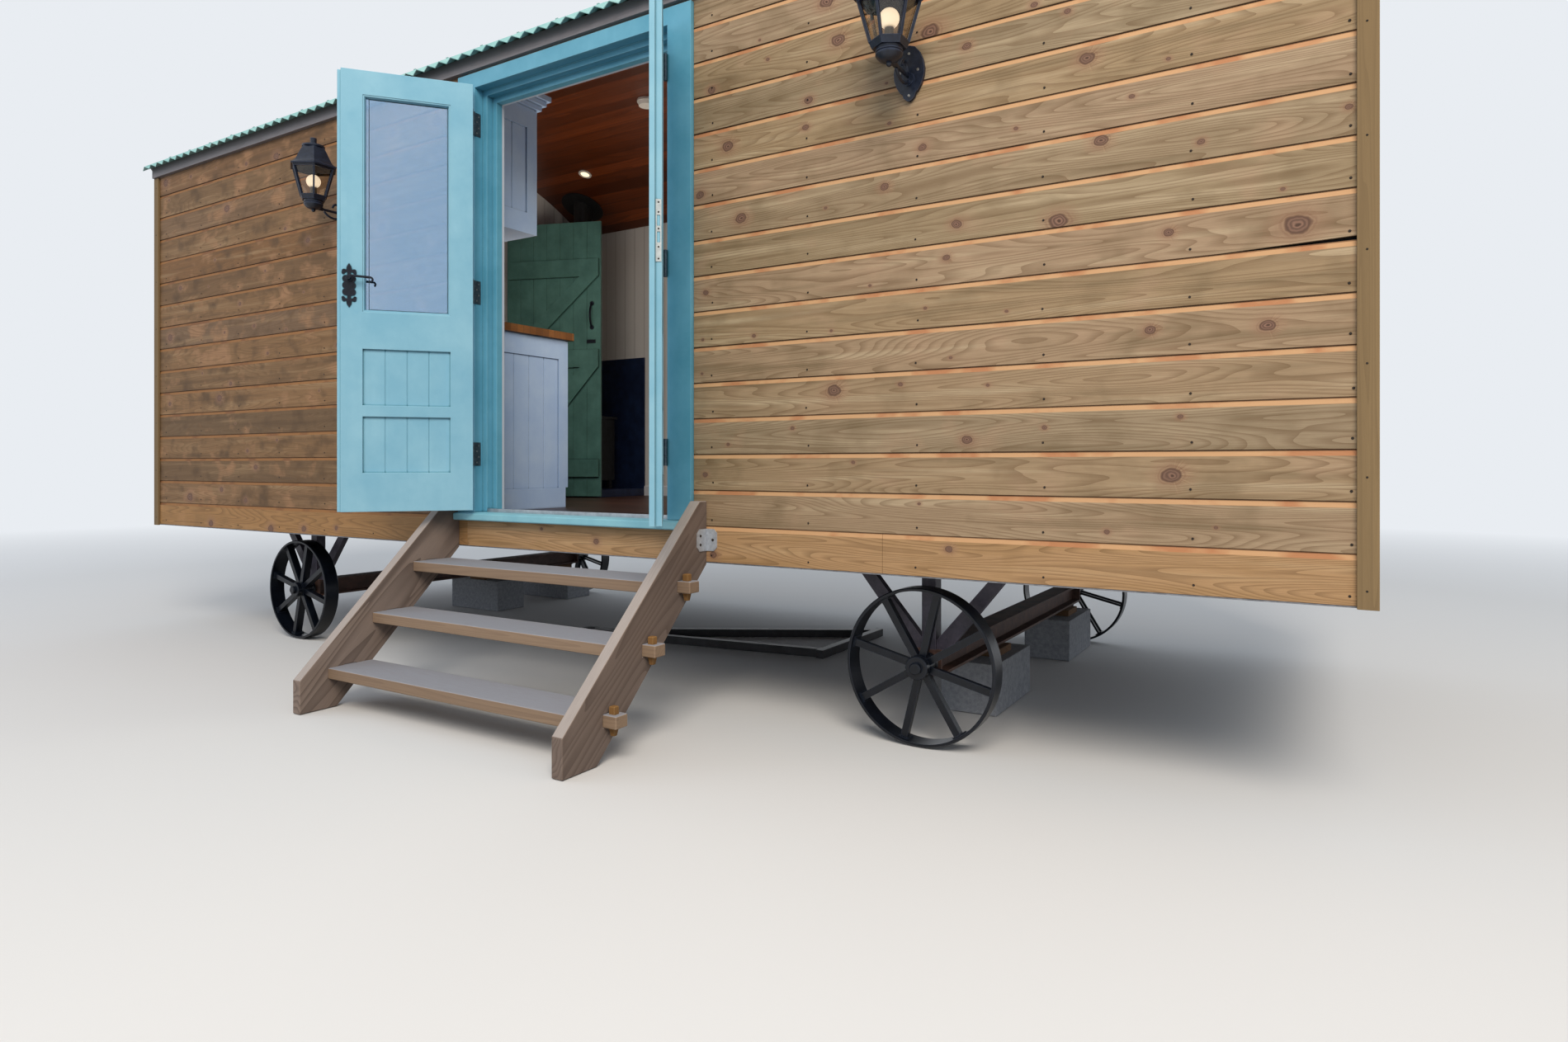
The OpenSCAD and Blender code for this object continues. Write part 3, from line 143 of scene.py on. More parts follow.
def mottled(name, dark, light, size_mm, roughness, bump_mm=0.0, metallic=0.0, speck=None,
            worn=None, stroke=(1.0, 1.0, 1.0), painted_crease_shade=None, **shader_inputs):
    """Two tones in soft patches of a real size, fine relief, specks and paler worn edges.

    stroke stretches the relief into brush marks or a drawn surface, and the crease colour is
    painted shade, laid into grooves and inner corners where little open sky reaches.
    """
    finish, tree, shader, place = new_finish(name, roughness, metallic, **shader_inputs)
    patch = add_node(tree, "TexNoise", Vector=place, Scale=1000 / size_mm, Detail=5.0,
                     Roughness=0.62)
    drawn = add_node(tree, "VectorMath.MULTIPLY", place, stroke)
    relief = add_node(tree, "TexNoise", Vector=drawn, Scale=5000 / size_mm, Detail=3.0)
    colour = layered(tree, dark, (light, patch, 0.36, 0.66), (dark, relief, 0.45, 0.80, 0.35))
    if speck:
        fine = add_node(tree, "TexNoise", Vector=place, Scale=9000 / size_mm, Detail=4.0,
                        Roughness=0.7)
        colour = layered(tree, colour, (speck, fine, 0.60, 0.70))
    if worn:
        colour = layered(tree, colour, (worn, arrises(tree, 0.004), 0.985, 0.86, 0.75))
    # Painted shade: the crease colour darkens grooves and inner corners, by ambient occlusion
    if painted_crease_shade:
        open_sky = add_node(tree, "AmbientOcclusion", Distance=0.012, samples=8)
        colour = layered(tree, colour, (painted_crease_shade, open_sky.outputs["AO"], 0.88, 0.42))
    feed(shader, Base_Color=colour)
    if bump_mm:
        bump = add_node(tree, "Bump", Height=relief, Distance=bump_mm / 1000, Strength=0.8)
        feed(shader, Normal=bump)
    return finish


def dress(finish, *nodes):
    """Gives CAD nodes their finish."""
    for node in nodes:
        slots = frame["nodes"][node].data.materials
        slots.clear()
        slots.append(finish)


def settle(piece):
    """Keeps what a piece's modifiers make as its plain mesh."""
    shown = piece.evaluated_get(bpy.context.evaluated_depsgraph_get())
    piece.data = bpy.data.meshes.new_from_object(shown)
    piece.modifiers.clear()


def eased(node, width_mm, finish, body="hut", segments=2, angle=32):
    """A merged copy of a CAD node that stands for it, its sharp edges rounded by width_mm."""
    mesh = frame["nodes"][node].data.copy()
    merged = bmesh.new()
    merged.from_mesh(mesh)
    bmesh.ops.remove_doubles(merged, verts=merged.verts, dist=0.00002)
    bmesh.ops.dissolve_limit(merged, angle_limit=math.radians(0.6), verts=merged.verts,
                             edges=merged.edges)
    for face in merged.faces:
        face.smooth = True
    for edge in merged.edges:
        edge.smooth = len(edge.link_faces) == 2 and edge.calc_face_angle() < math.radians(angle)
    merged.to_mesh(mesh)
    merged.free()
    piece = new_object(node + "_eased", mesh)
    mesh.materials.clear()
    mesh.materials.append(finish)
    if width_mm:
        edge = piece.modifiers.new("edge", "BEVEL")
        edge.width = width_mm / 1000
        edge.segments = segments
        edge.limit_method = "ANGLE"
        edge.angle_limit = math.radians(angle)
        edge.harden_normals = True
        settle(piece)
    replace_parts(piece, node)
    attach(piece, body)
    return piece


chassis_paint = mottled("chassis_steel_brush_painted", "#2a2320", "#3d332d", 90, 0.62, 0.25,
                        speck="#5b3a26")
dress(chassis_paint, "chassis")

# Axle beams are rolled steel joists in red-brown primer, with posts and raking struts of flat
# bar bolted between them and the chassis, painted a dark lilac-grey.
axle_primer = mottled("axle_rolled_steel_primed", "#473630", "#64493f", 60, 0.66, 0.4,
                      speck="#70452f", worn="#7d6459")
strut_paint = mottled("strut_flat_bar_painted", "#3a3640", "#544e5c", 45, 0.5, 0.15,
                      speck="#6b625f", worn="#6d6874")
eased("axle_beams", 1.5, axle_primer)
dress(strut_paint, "axle_stands")

# Four cast iron wheels with eight ridged spokes and a capped hub, black enamel over the
# casting. The enamel is blue-black with a soft sheen, and its arrises are drawn paler, as
# rubbed enamel and as a painted highlight.
wheel_iron = mottled("wheel_cast_iron_enamelled", "#060910", "#0e131c", 35, 0.30, 0.5,
                     speck="#161b28", worn="#29313f", Specular_IOR_Level=0.35)
# The bore is opened a little, so that its facets clear the stub axle's at every turn
cad_bore_r, bore_r = 0.02005, 0.0206
for corner in ("front_left", "front_right", "back_left", "back_right"):
    wheel = eased("wheel_" + corner, 1.2, wheel_iron, corner + "_wheel", angle=28)
    hub = sum(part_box("wheel_" + corner), Vector()) / 2
    for vertex in wheel.data.vertices:
        out = Vector((vertex.co.x - hub.x, 0.0, vertex.co.z - hub.z))
        if abs(out.length - cad_bore_r) < 0.00003:
            vertex.co += out.normalized() * (bore_r - cad_bore_r)

# Tow frame of welded bar, painted black, lying loose on the ground under the hut.
# Rust shows in small spots where the paint is chipped.
tow_paint = mottled("tow_frame_bar_painted", "#17171a", "#2b2b2f", 60, 0.45, 0.2,
                    speck="#4a3a30")
eased("drawbar", 2, tow_paint)

# Piers of dense concrete blocks laid dry under the axles, with a sawn packer on each.
# Pressed concrete is open-faced, with light and dark grains of 2 to 4 mm.
block_face = mottled("concrete_block_pressed", "#929499", "#b0b1b4", 16, 0.93, 1.2,
                     speck="#6b6c70", worn="#b9b9b6")
eased("block_piers", 3, block_face)


def side_by_side(tree, place, axis, pitch):
    """Boards along an axis: the count of them up to a place, and how far off a middle it is."""
    across = add_node(tree, "SeparateXYZ", place).outputs[axis]
    count = add_node(tree, "Math.DIVIDE", across, pitch)
    off = add_node(tree, "Math.SUBTRACT", add_node(tree, "Math.FRACT", count), 0.5)
    return count, add_node(tree, "Math.ABSOLUTE", off)


def plain_timber(name, along, light, dark, roughness=0.78, ring_mm=6.0, lines=0.5, bump_mm=0.3,
                 turn=0.0, boards=None, joint=None, sky=None, worn=None):
    """Sawn or planed timber whose grain runs along one axis, 0, 1 or 2, after a turn about X.

    boards is the axis and width of boards laid side by side, joint the colour between them,
    sky the colour of upward faces, partly weathering and partly painted sky light, and worn
    that of rubbed arrises.
    """
    finish, tree, shader, place = new_finish(name, roughness)
    add = partial(add_node, tree)
    if turn:
        place = add("Mapping", Vector=place, Rotation=(turn, 0, 0))
    if boards:
        count, off = side_by_side(tree, place, *boards)
        number = add("Math.FLOOR", count)
        own = add("TexWhiteNoise", W=number, noise_dimensions="1D")
        shift = add("VectorMath.MULTIPLY", own.outputs["Color"], (9.0, 9.0, 9.0))
        place = add("VectorMath.ADD", place, shift)
    stretch, fine = [220 / ring_mm] * 3, [900.0] * 3
    stretch[along], fine[along] = 1.1, 16.0
    flow = add("VectorMath.MULTIPLY", place, stretch)
    thread = add("VectorMath.MULTIPLY", place, fine)
    field = add("TexNoise", Vector=flow, Scale=0.28, Detail=2.0, Roughness=0.45)
    rings = add("Math.FRACT", add("Math.MULTIPLY", field, 24.0))
    fibre = add("TexNoise", Vector=thread, Scale=1.0, Detail=2.0)
    broad = add("TexNoise", Vector=flow, Scale=0.09, Detail=3.0)
    if boards:
        tone = add("Math.MULTIPLY_ADD", own, 0.22, -0.11)
        broad = add("Math.ADD", tone, broad)
    colour = layered(tree, dark, (light, broad, 0.34, 0.68), (dark, rings, 0.4, 1.0, lines),
                     (dark, fibre, 0.4, 0.75, 0.30))
    # Painted light: upward faces turn to the sky colour, part weathering and part painted sky
    # light
    if sky:
        facing = add("NewGeometry").outputs["Normal"]
        up = add("SeparateXYZ", facing).outputs["Z"]
        bleached_and_sky_lit = layered(tree, sky, (dark, fibre, 0.35, 0.8, 0.30))
        colour = layered(tree, colour, (bleached_and_sky_lit, up, 0.45, 0.65))
    if worn:
        colour = layered(tree, colour, (worn, arrises(tree, 0.005), 0.985, 0.86, 0.7))
    if boards:
        colour = layered(tree, colour, (joint, off, 0.5 - 0.003 / boards[1], 0.5, 0.85))
    bump = add("Bump", Height=fibre, Distance=bump_mm / 1000, Strength=0.7)
    feed(shader, Base_Color=colour, Normal=bump)
    return finish


packer_wood = plain_timber("packing_timber_sawn", 0, "#8a6540", "#59402a", 0.85, bump_mm=0.6)
eased("timber_packers", 1.5, packer_wood)

# Floor of softwood boards 120 mm wide on the chassis, nailed down and stained red-brown.
# The stain has dulled to a dark plum brown, with black lines between the boards.
floor_wood = plain_timber("floor_boards_stained", 0, "#4d3329", "#32211d", 0.42, ring_mm=8.0,
                          boards=(1, 0.120), joint="#120b08", bump_mm=0.15)
dress(floor_wood, "floor_deck")

# Cladding of sawn pine boards laid level, each covering 130 mm and nailed through its lower
# edge, with a planed bevel along the top. The treated, knotty wood is tan to olive in soft
# streaks and its bevel orange; left of the door the boards are blotched, and drawn browner
# and darker as painted shade.
cover = 0.130
course_count = 16
board_bottom = 0.580
bevel_h, bevel_d = 0.016, 0.0038
board_d, board_arris, board_gap = 0.022, 0.0012, 0.0004
course_play = 0.0012
knot_step = 0.30


def pine_cladding(name, along, seed, tones, streaks, blotch, knotty, bevel_colours):
    """Flat-sawn pine boards in courses. along is the axis that they run on, 0 or 1.

    tones are the boards' colours, streaks a pale, a dark and a pink one, and blotch how
    strongly stains cross the boards. knotty is the share of 300 mm lengths with a knot.
    """
    finish, tree, shader, place = new_finish(name, 0.72)
    add = partial(add_node, tree)
    parts = add("SeparateXYZ", place)
    lifted = add("Math.SUBTRACT", parts.outputs["Z"], board_bottom - 0.0002)
    lifted = add("Math.DIVIDE", lifted, cover)
    row = add("Math.FLOOR", lifted)
    v = add("Math.MULTIPLY", add("Math.FRACT", lifted), cover)
    number = add("Math.ADD", row, seed)
    own = add("TexWhiteNoise", W=number, noise_dimensions="1D")
    slid = add("Math.MULTIPLY_ADD", own, 23.0, parts.outputs[along])
    # One place for a knot in each 300 mm of board: its centre, its size and whether it is there
    cells = add("Math.DIVIDE", slid, knot_step)
    label = add("CombineXYZ", add("Math.FLOOR", cells), row, seed)
    luck = add("TexWhiteNoise", Vector=label)
    chance = add("SeparateXYZ", luck.outputs["Color"]).outputs
    radius = add("Math.POWER", chance["Z"], 2.2)
    radius = add("Math.MULTIPLY_ADD", radius, 0.0165, 0.0035)
    middle = add("Math.MULTIPLY_ADD", chance["X"], 0.5, 0.25)
    dx = add("Math.SUBTRACT", add("Math.FRACT", cells), middle)
    dx = add("Math.MULTIPLY", dx, knot_step / 1.3)
    dx = add("Math.DIVIDE", dx, radius)
    height = add("Math.MULTIPLY_ADD", chance["Y"], 0.088, 0.012)
    dy = add("Math.SUBTRACT", v, height)
    dy = add("Math.DIVIDE", dy, radius)
    # Its outline wanders, because no knot is truly round
    wobble = add("TexNoise", Vector=place, Scale=42.0, Detail=1.0)
    wander = add("VectorMath.MULTIPLY_ADD", wobble.outputs["Color"], (0.7, 0.7, 0.0),
                 (-0.35, -0.35, 0.0))
    offset = add("VectorMath.ADD", add("CombineXYZ", dx, dy), wander)
    absent = add("Math.GREATER_THAN", luck, knotty)
    reach = add("Math.MULTIPLY_ADD", absent, 60.0, add("VectorMath.LENGTH", offset))
    # The grain parts round a knot and closes again a few knot radii away
    squared = add("Math.MULTIPLY", reach, reach)
    fading = add("Math.EXPONENT", add("Math.DIVIDE", squared, -7.0))
    push = add("Math.DIVIDE", dy, add("Math.ADD", squared, 0.3))
    push = add("Math.MULTIPLY", push, fading)
    push = add("Math.MULTIPLY", push, radius)
    grain_v = add("Math.SUBTRACT", v, push)
    flow = add("CombineXYZ", slid, grain_v, number)
    # Growth lines 3 to 9 mm apart, fibre 1.6 mm across, streaks 30 mm wide and 800 mm long,
    # and stains 150 mm wide that cross the board
    noise = {}
    for key, size, detail in (("growth", (0.8, 9.0, 3.7), 1.3), ("fibre", (14.0, 620.0, 3.1), 2.0),
                              ("streak", (1.25, 30.0, 2.3), 2.5), ("stain", (6.5, 8.0, 5.9), 3.5)):
        sized = add("VectorMath.MULTIPLY", flow, size)
        noise[key] = add("TexNoise", Vector=sized, Scale=1.0, Detail=detail)
    rings = add("Math.FRACT", add("Math.MULTIPLY", noise["growth"], 30.0))
    ramp = add("ValToRGB", own)
    stops = ramp.color_ramp.elements
    stops[0].color, stops[1].color = srgb(tones[0]), srgb(tones[-1])
    for i, tone in enumerate(tones[1:-1]):
        stops.new((i + 1) / (len(tones) - 1)).color = srgb(tone)
    # Fine pale and dark lines fan out of a knot to one side
    bearing = add("Math.ARCTAN2", dy, dx)
    hairs = add("TexNoise", W=add("Math.MULTIPLY", bearing, 7.0), Scale=1.0, Detail=2.0,
                noise_dimensions="1D")
    fan = add("MapRange", dx, -0.2, 0.8)
    for value, start, end in ((reach, 3.2, 1.1), (chance["Y"], 0.45, 0.6)):
        fan = add("Math.MULTIPLY", fan, add("MapRange", value, start, end))
    pale_hairs = add("Math.MULTIPLY", add("MapRange", hairs, 0.53, 0.62, 0.0, 0.35), fan)
    dark_hairs = add("Math.MULTIPLY", add("MapRange", hairs, 0.47, 0.36, 0.0, 0.5), fan)
    # The knot has rings of red-brown and grey-brown, a dark heart and a bark outline
    ringed = add("Math.SINE", add("Math.MULTIPLY", reach, 13.0))
    ringed = add("Math.MULTIPLY_ADD", ringed, 0.5, 0.5)
    round_it = add("Math.MULTIPLY", ringed, add("MapRange", reach, 2.1, 1.0, 0.0, 0.55))
    knot = layered(tree, "#94705e", ("#5d463b", ringed), ("#735a4a", chance["X"], 0.4, 0.7, 0.5),
                   ("#3a271e", reach, 0.32, 0.12, 0.7), ("#47322a", reach, 0.74, 0.98, 0.75))
    fresh = layered(tree, bevel_colours[0], (bevel_colours[1], noise["stain"], 0.5, 0.62))
    lowest = add("Math.LESS_THAN", row, 0.5)
    outward = add("NewGeometry").outputs["True Normal"]
    facing = add("SeparateXYZ", outward).outputs["Z"]
    bevel_foot = cover - bevel_h
    wood = layered(
        tree, ramp,
        (streaks[0], noise["streak"], 0.54, 0.72, 0.60),
        (streaks[1], noise["streak"], 0.46, 0.28, 0.60),
        (streaks[2], noise["stain"], 0.56, 0.70, blotch),
        (streaks[1], noise["stain"], 0.46, 0.30, blotch),
        ("#cb9a62", lowest, 0.0, 1.0, 0.55),
        ("#644829", rings, 0.45, 1.0, 0.46),
        ("#705638", noise["fibre"], 0.42, 0.75, 0.30),
        ("#a07a60", reach, 3.4, 1.0, 0.55),
        ("#e0bd92", pale_hairs),
        ("#71492f", dark_hairs),
        ("#75503f", round_it),
        (knot, reach, 1.35, 0.95, 0.88),
        # The bevel, a painted shadow line over it, painted shade along a lower edge and on the
        # underside
        (fresh, v, bevel_foot - 0.0010, bevel_foot + 0.0008, 0.88),
        ("#5e3f27", v, cover - 0.0042, cover - 0.0024, 0.75),
        ("#7a4c2a", v, 0.0018, 0.0008, 0.5),
        ("#1d1712", facing, -0.6, -0.9, 0.94))
    sunk = add("MapRange", rings, 0.45, 1.0, 0.0, -0.35)
    relief = add("Math.ADD", noise["fibre"], sunk)
    bump = add("Bump", Height=relief, Distance=0.0004, Strength=0.5)
    feed(shader, Base_Color=wood, Normal=bump)
    return finish


tan_streaks, orange_bevel = ("#d3bd9b", "#7c6a4e", "#bf9e80"), ("#d6a678", "#c08258")
clad_right = pine_cladding("pine_cladding_sawn_treated_right", 0, 3,
                           ("#ae9476", "#9a896c", "#ac9270", "#b2967a", "#9f8d70"),
                           tan_streaks, 0.40, 0.62, orange_bevel)
# Painted shade: the left wall's tones and bevel are drawn darker and browner than the right's
clad_left_shaded = pine_cladding("pine_cladding_sawn_treated_left_shaded", 0, 57,
                          ("#946f49", "#6f5b43", "#8d6239", "#7c624a", "#9a744c"),
                          ("#b0906a", "#533f2b", "#b08560"), 0.80, 0.42, ("#9a6a3c", "#7f5330"))
clad_end = pine_cladding("pine_cladding_sawn_treated_ends", 1, 41,
                         ("#b09674", "#988668", "#aa906c", "#9d8a6c"),
                         tan_streaks, 0.40, 0.56, orange_bevel)
# One board in section: the depth into the wall and the height above its own lower edge
board_section = [(board_arris, 0.0), (0.0, board_arris), (0.0, cover - bevel_h),
                 (bevel_d, cover - board_gap), (board_d, cover - board_gap), (board_d, 0.0)]


def new_piece(name, verts, faces, finish, body="hut"):
    """A mesh piece in place, dressed and riding on its body, if one is named."""
    mesh = bpy.data.meshes.new(name)
    mesh.from_pydata([tuple(v) for v in verts], [], faces)
    mesh.update()
    turned = bmesh.new()
    turned.from_mesh(mesh)
    bmesh.ops.recalc_face_normals(turned, faces=turned.faces)
    turned.to_mesh(mesh)
    turned.free()
    piece = new_object(name, mesh)
    mesh.materials.append(finish)
    if body:
        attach(piece, body)
    return piece


def solid_box(low, high):
    """Corners and faces of a box."""
    (a, b, c), (d, e, f) = low, high
    corners = [(a, b, c), (d, b, c), (d, e, c), (a, e, c),
               (a, b, f), (d, b, f), (d, e, f), (a, e, f)]
    return corners, [(0, 3, 2, 1), (4, 5, 6, 7), (0, 1, 5, 4), (1, 2, 6, 5), (2, 3, 7, 6),
                     (3, 0, 4, 7)]


def board_run(stations, face_y, inward, first=0):
    """Corners and faces of a board through some places along the wall, on a given course."""
    verts = [(x, face_y + inward * d, board_bottom + first * cover + h)
             for x in stations for d, h in board_section]
    count = len(board_section)
    last = count * (len(stations) - 1)
    faces = [(k + i, k + (i + 1) % count, k + count + (i + 1) % count, k + count + i)
             for k in range(0, last, count) for i in range(count)]
    return verts, faces + [tuple(range(count)), tuple(range(last, last + count))]


def new_tree(name, *wanted):
    """A geometry tree with named inputs, each as its name, socket type and default."""
    tree = bpy.data.node_groups.new(name, "GeometryNodeTree")
    tree.interface.new_socket("Geometry", in_out="INPUT", socket_type="NodeSocketGeometry")
    for label, kind, default in wanted:
        made = tree.interface.new_socket(label, in_out="INPUT", socket_type="NodeSocket" + kind)
        made.default_value = default
    tree.interface.new_socket("Finish", in_out="INPUT", socket_type="NodeSocketMaterial")
    tree.interface.new_socket("Geometry", in_out="OUTPUT", socket_type="NodeSocketGeometry")
    return tree, tree.nodes.new("NodeGroupInput").outputs


def end_tree(tree, made, finish):
    """Ends a geometry tree: what it made becomes real mesh and takes its finish."""
    real = add_node(tree, "GeometryNodeRealizeInstances", made)
    dressed = add_node(tree, "GeometryNodeSetMaterial", Geometry=real, Material=finish)
    add_node(tree, "NodeGroupOutput", dressed)


# Boards stacked in courses: each is nudged by up to Play into the wall, as real ones lie
course_tree, given = new_tree("board_courses", ("Courses", "Int", course_count),
                              ("Cover", "Float", cover), ("Play", "Vector", (0, course_play, 0)),
                              ("Seed", "Int", 5))
courses = add_node(course_tree, "GeometryNodeMeshLine", Count=given["Courses"],
                   Offset=add_node(course_tree, "CombineXYZ", Z=given["Cover"]))
stacked = add_node(course_tree, "GeometryNodeInstanceOnPoints", Points=courses,
                   Instance=given["Geometry"])
nudge = add_node(course_tree, "FunctionNodeRandomValue", Max=given["Play"], Seed=given["Seed"],
                 data_type="FLOAT_VECTOR")
moved = add_node(course_tree, "GeometryNodeTranslateInstances", Instances=stacked,
                 Translation=nudge)
end_tree(course_tree, moved, given["Finish"])


def grow(piece, tree, **values):
    """Runs a geometry tree on a piece and keeps the result as its plain mesh."""
    modifier = piece.modifiers.new("grow", "NODES")
    modifier.node_group = tree
    for item in tree.interface.items_tree:
        if item.item_type == "SOCKET" and item.in_out == "INPUT" and item.name in values:
            modifier[item.identifier] = values[item.name]
    settle(piece)


def long_wall_boards(node, inward, seed, finish, first=0, between=()):
    """One long wall's courses, standing for its CAD node, from end to end by way of between."""
    low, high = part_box(node)
    run = board_run((low.x, *between, high.x), (low if inward > 0 else high).y, inward, first)
    boards = new_piece(node + "_boards", *run, finish, body=None)
    grow(boards, course_tree, Courses=course_count - first, Cover=cover,
         Play=(0.0, course_play * inward, 0.0), Seed=seed, Finish=finish)
    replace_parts(boards, node)
    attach(boards, "hut")
    return boards


long_wall_boards("front_wall_left", 1, 7, clad_left_shaded)
long_wall_boards("back_wall", -1, 31, clad_right)
# On the right one board's lower edge has sprung off near the corner, and the lowest course is
# two boards that meet in a butt joint
sprung_course, sprung_from, sprung_by = 7, 2.69, 0.010
joint_x, joint_half = 1.715, 0.0007
right_boards = long_wall_boards("front_wall_right", 1, 19, clad_right, first=1,
                                between=[sprung_from])
right_low, right_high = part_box("front_wall_right")
sprung_z = board_bottom + sprung_course * cover
for vertex in right_boards.data.vertices:
    if vertex.co.x > right_high.x - 0.001 and -0.0002 < vertex.co.z - sprung_z < 0.002:
        vertex.co.z += sprung_by
for name, ends in (("lowest_board_left_of_joint", (right_low.x, joint_x - joint_half)),
                   ("lowest_board_right_of_joint", (joint_x + joint_half, right_high.x))):
    new_piece(name, *board_run(ends, wall_y, 1), clad_right)
dress(clad_right, "front_wall_over_door", "front_wall_under_door")

# End walls are clad in the same boards, cut to the roof's curve behind the barge boards.
# Their gables rise above the eaves in ever shorter courses.
back_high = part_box("back_wall")[1]
body_y = (back_high.y + wall_y) / 2
half_w = back_high.y - body_y
arc_r = 2.160
arc_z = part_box("left_end_wall")[1].z + 0.0003 - arc_r
cut_gap = 0.002


def half_span(z):
    """Half the wall's width at a height, inside the roof's arc."""
    rise = (arc_r - cut_gap) ** 2 - (z - arc_z) ** 2
    return min(half_w - 2 * cut_gap, math.sqrt(max(0.0, rise)))


for node, side in (("left_end_wall", -1), ("right_end_wall", 1)):
    low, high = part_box(node)
    face_x = low.x if side < 0 else high.x
    count = len(board_section)
    verts, faces = [], []
    z0 = board_bottom
    while z0 < high.z - 0.02:
        start = len(verts)
        for depth, rise in board_section:
            z = min(z0 + rise, high.z - cut_gap)
            verts += [(face_x - side * depth, body_y + edge * half_span(z), z)
                      for edge in (-1, 1)]
        for i in range(count):
            j = (i + 1) % count
            faces.append((start + 2 * i, start + 2 * j, start + 2 * j + 1, start + 2 * i + 1))
        for edge in (0, 1):
            faces.append(tuple(start + 2 * i + edge for i in range(count)))
        z0 += cover
    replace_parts(new_piece(node + "_boards", verts, faces, clad_end), node)

# Nails are oval wire nails, driven through each board's lower edge into the studs 400 mm
# apart. Their heads have weathered nearly black, in upright rows.
nail_steel = mottled("nail_steel_weathered", "#1c1611", "#33281f", 6, 0.6)
nail_tree, given = new_tree("driven_heads", ("Radius", "Float", 0.0035),
                            ("Height", "Float", 0.0016), ("Crown", "Float", 0.7),
                            ("Sides", "Int", 8))
crown_r = add_node(nail_tree, "Math.MULTIPLY", given["Radius"], given["Crown"])
head_form = add_node(nail_tree, "GeometryNodeMeshCone", Vertices=given["Sides"],
                     Radius_Bottom=given["Radius"], Radius_Top=crown_r, Depth=given["Height"])
aim = add_node(nail_tree, "GeometryNodeInputNamedAttribute", Name="aim",
               data_type="FLOAT_VECTOR")
heads = add_node(nail_tree, "GeometryNodeInstanceOnPoints", Points=given["Geometry"],
                 Instance=head_form, Rotation=add_node(
                     nail_tree, "FunctionNodeAlignRotationToVector", Vector=aim, axis="Z"))
end_tree(nail_tree, heads, given["Finish"])


def drive_heads(name, places, radius, height, finish, body="hut", sides=8, crown=0.7):
    """Nail or screw heads as one mesh, from pairs of a foot and the way that it faces."""
    mesh = bpy.data.meshes.new(name)
    mesh.from_pydata([tuple(foot) for foot, facing in places], [], [])
    facings = mesh.attributes.new("aim", "FLOAT_VECTOR", "POINT")
    for item, (foot, facing) in zip(facings.data, places):
        item.vector = facing
    piece = new_object(name, mesh)
    grow(piece, nail_tree, Radius=radius, Height=height, Crown=crown, Sides=sides, Finish=finish)
    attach(piece, body)


random.seed(12)
nail_rise = 0.0245
under_head = 0.0002
door_x, doorway_half = 0.322, 0.66
stud_x, stud_step, corner_stud_x, end_stud_step = 2.231, 0.397, 2.992, 0.385
nails = {"front_nails": [], "back_nails": [], "end_nails": []}
for course in range(course_count):
    z = board_bottom + course * cover + nail_rise
    for x in [stud_x + stud_step * k for k in range(-13, 2)] + [corner_stud_x]:
        nail_x, nail_z = x + random.uniform(-0.005, 0.005), z + random.uniform(-0.003, 0.003)
        if abs(x - door_x) > doorway_half:
            nails["front_nails"].append(((nail_x, wall_y - under_head, nail_z), (0, -1, 0)))
        nails["back_nails"].append(((-nail_x, back_high.y + under_head, nail_z), (0, 1, 0)))
    for k in range(-3, 4):
        y = body_y + end_stud_step * k + random.uniform(-0.005, 0.005)
        nails["end_nails"] += [((side * (back_high.x + under_head), y, z), (side, 0, 0))
                               for side in (-1, 1)]
for name, places in nails.items():
    drive_heads(name, places, 0.0036, 0.0014, nail_steel)

# Lining of tongued and grooved softwood boards, upright and 90 mm wide, painted off-white.
# Eggshell paint on machined wood, with a 4 mm vee between the boards; a low skirting
# board with a chamfered top runs round the foot.
lining_pitch, vee_w, vee_d = 0.090, 0.004, 0.003


def grooved_paint(name, along):
    """Painted boards side by side along an axis, 0 or 1, with a sunk vee between them drawn dark
    as painted shade.
    """
    finish, tree, shader, place = new_finish(name, 0.45)
    count, off = side_by_side(tree, place, along, lining_pitch)
    vee_sunk_and_shaded = add_node(tree, "MapRange", off, 0.5 * vee_w / lining_pitch, 0.0)
    patch = add_node(tree, "TexNoise", Vector=place, Scale=3.0, Detail=3.0)
    # Painted shade: the vee between boards is drawn grey
    colour = layered(tree, "#cfcdca", ("#84807c", patch, 0.3, 0.8, 0.10), ("#84807c", vee_sunk_and_shaded))
    drop = add_node(tree, "Math.MULTIPLY", vee_sunk_and_shaded, -1.0)
    bump = add_node(tree, "Bump", Height=drop, Distance=vee_d)
    feed(shader, Base_Color=colour, Normal=bump)
    return finish


lining_long = grooved_paint("lining_softwood_painted_long", 0)
lining_end = grooved_paint("lining_softwood_painted_ends", 1)
# Painted shade: a near-black sheet on the lining's outer face, dark as the cavity behind the
# boards
cavity_shade_sheet = mottled("cavity_sheet_painted_shade", "#0d1118", "#171c26", 20, 0.8)
for node, inward in (("front_wall_left", 1), ("front_wall_right", 1), ("back_wall", -1)):
    low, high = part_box(node)
    low.x, high.x = max(low.x, board_d - back_high.x), min(high.x, back_high.x - board_d)
    low.y += board_d if inward > 0 else 0.0
    high.y -= board_d if inward < 0 else 0.0
    lining = new_piece(node + "_lining", *solid_box(low, high), lining_long)
    lining.data.materials.append(cavity_shade_sheet)
    for face in lining.data.polygons:
        face.material_index = int(face.normal.y * inward < -0.9)
for node, side in (("left_end_wall", -1), ("right_end_wall", 1)):
    face_x = side * back_high.x
    core = frame["nodes"][node].data.copy()
    for vertex in core.vertices:
        if abs(vertex.co.x - face_x) < 0.001:
            vertex.co.x = face_x - side * board_d
    core.materials.clear()
    core.materials.append(lining_end)
    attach(new_object(node + "_lining", core), "hut")
skirting_paint = mottled("skirting_softwood_gloss_painted", "#c4c6ca", "#d2d4d8", 200, 0.3, 0.05)
eased("skirting_boards", 1.0, skirting_paint)
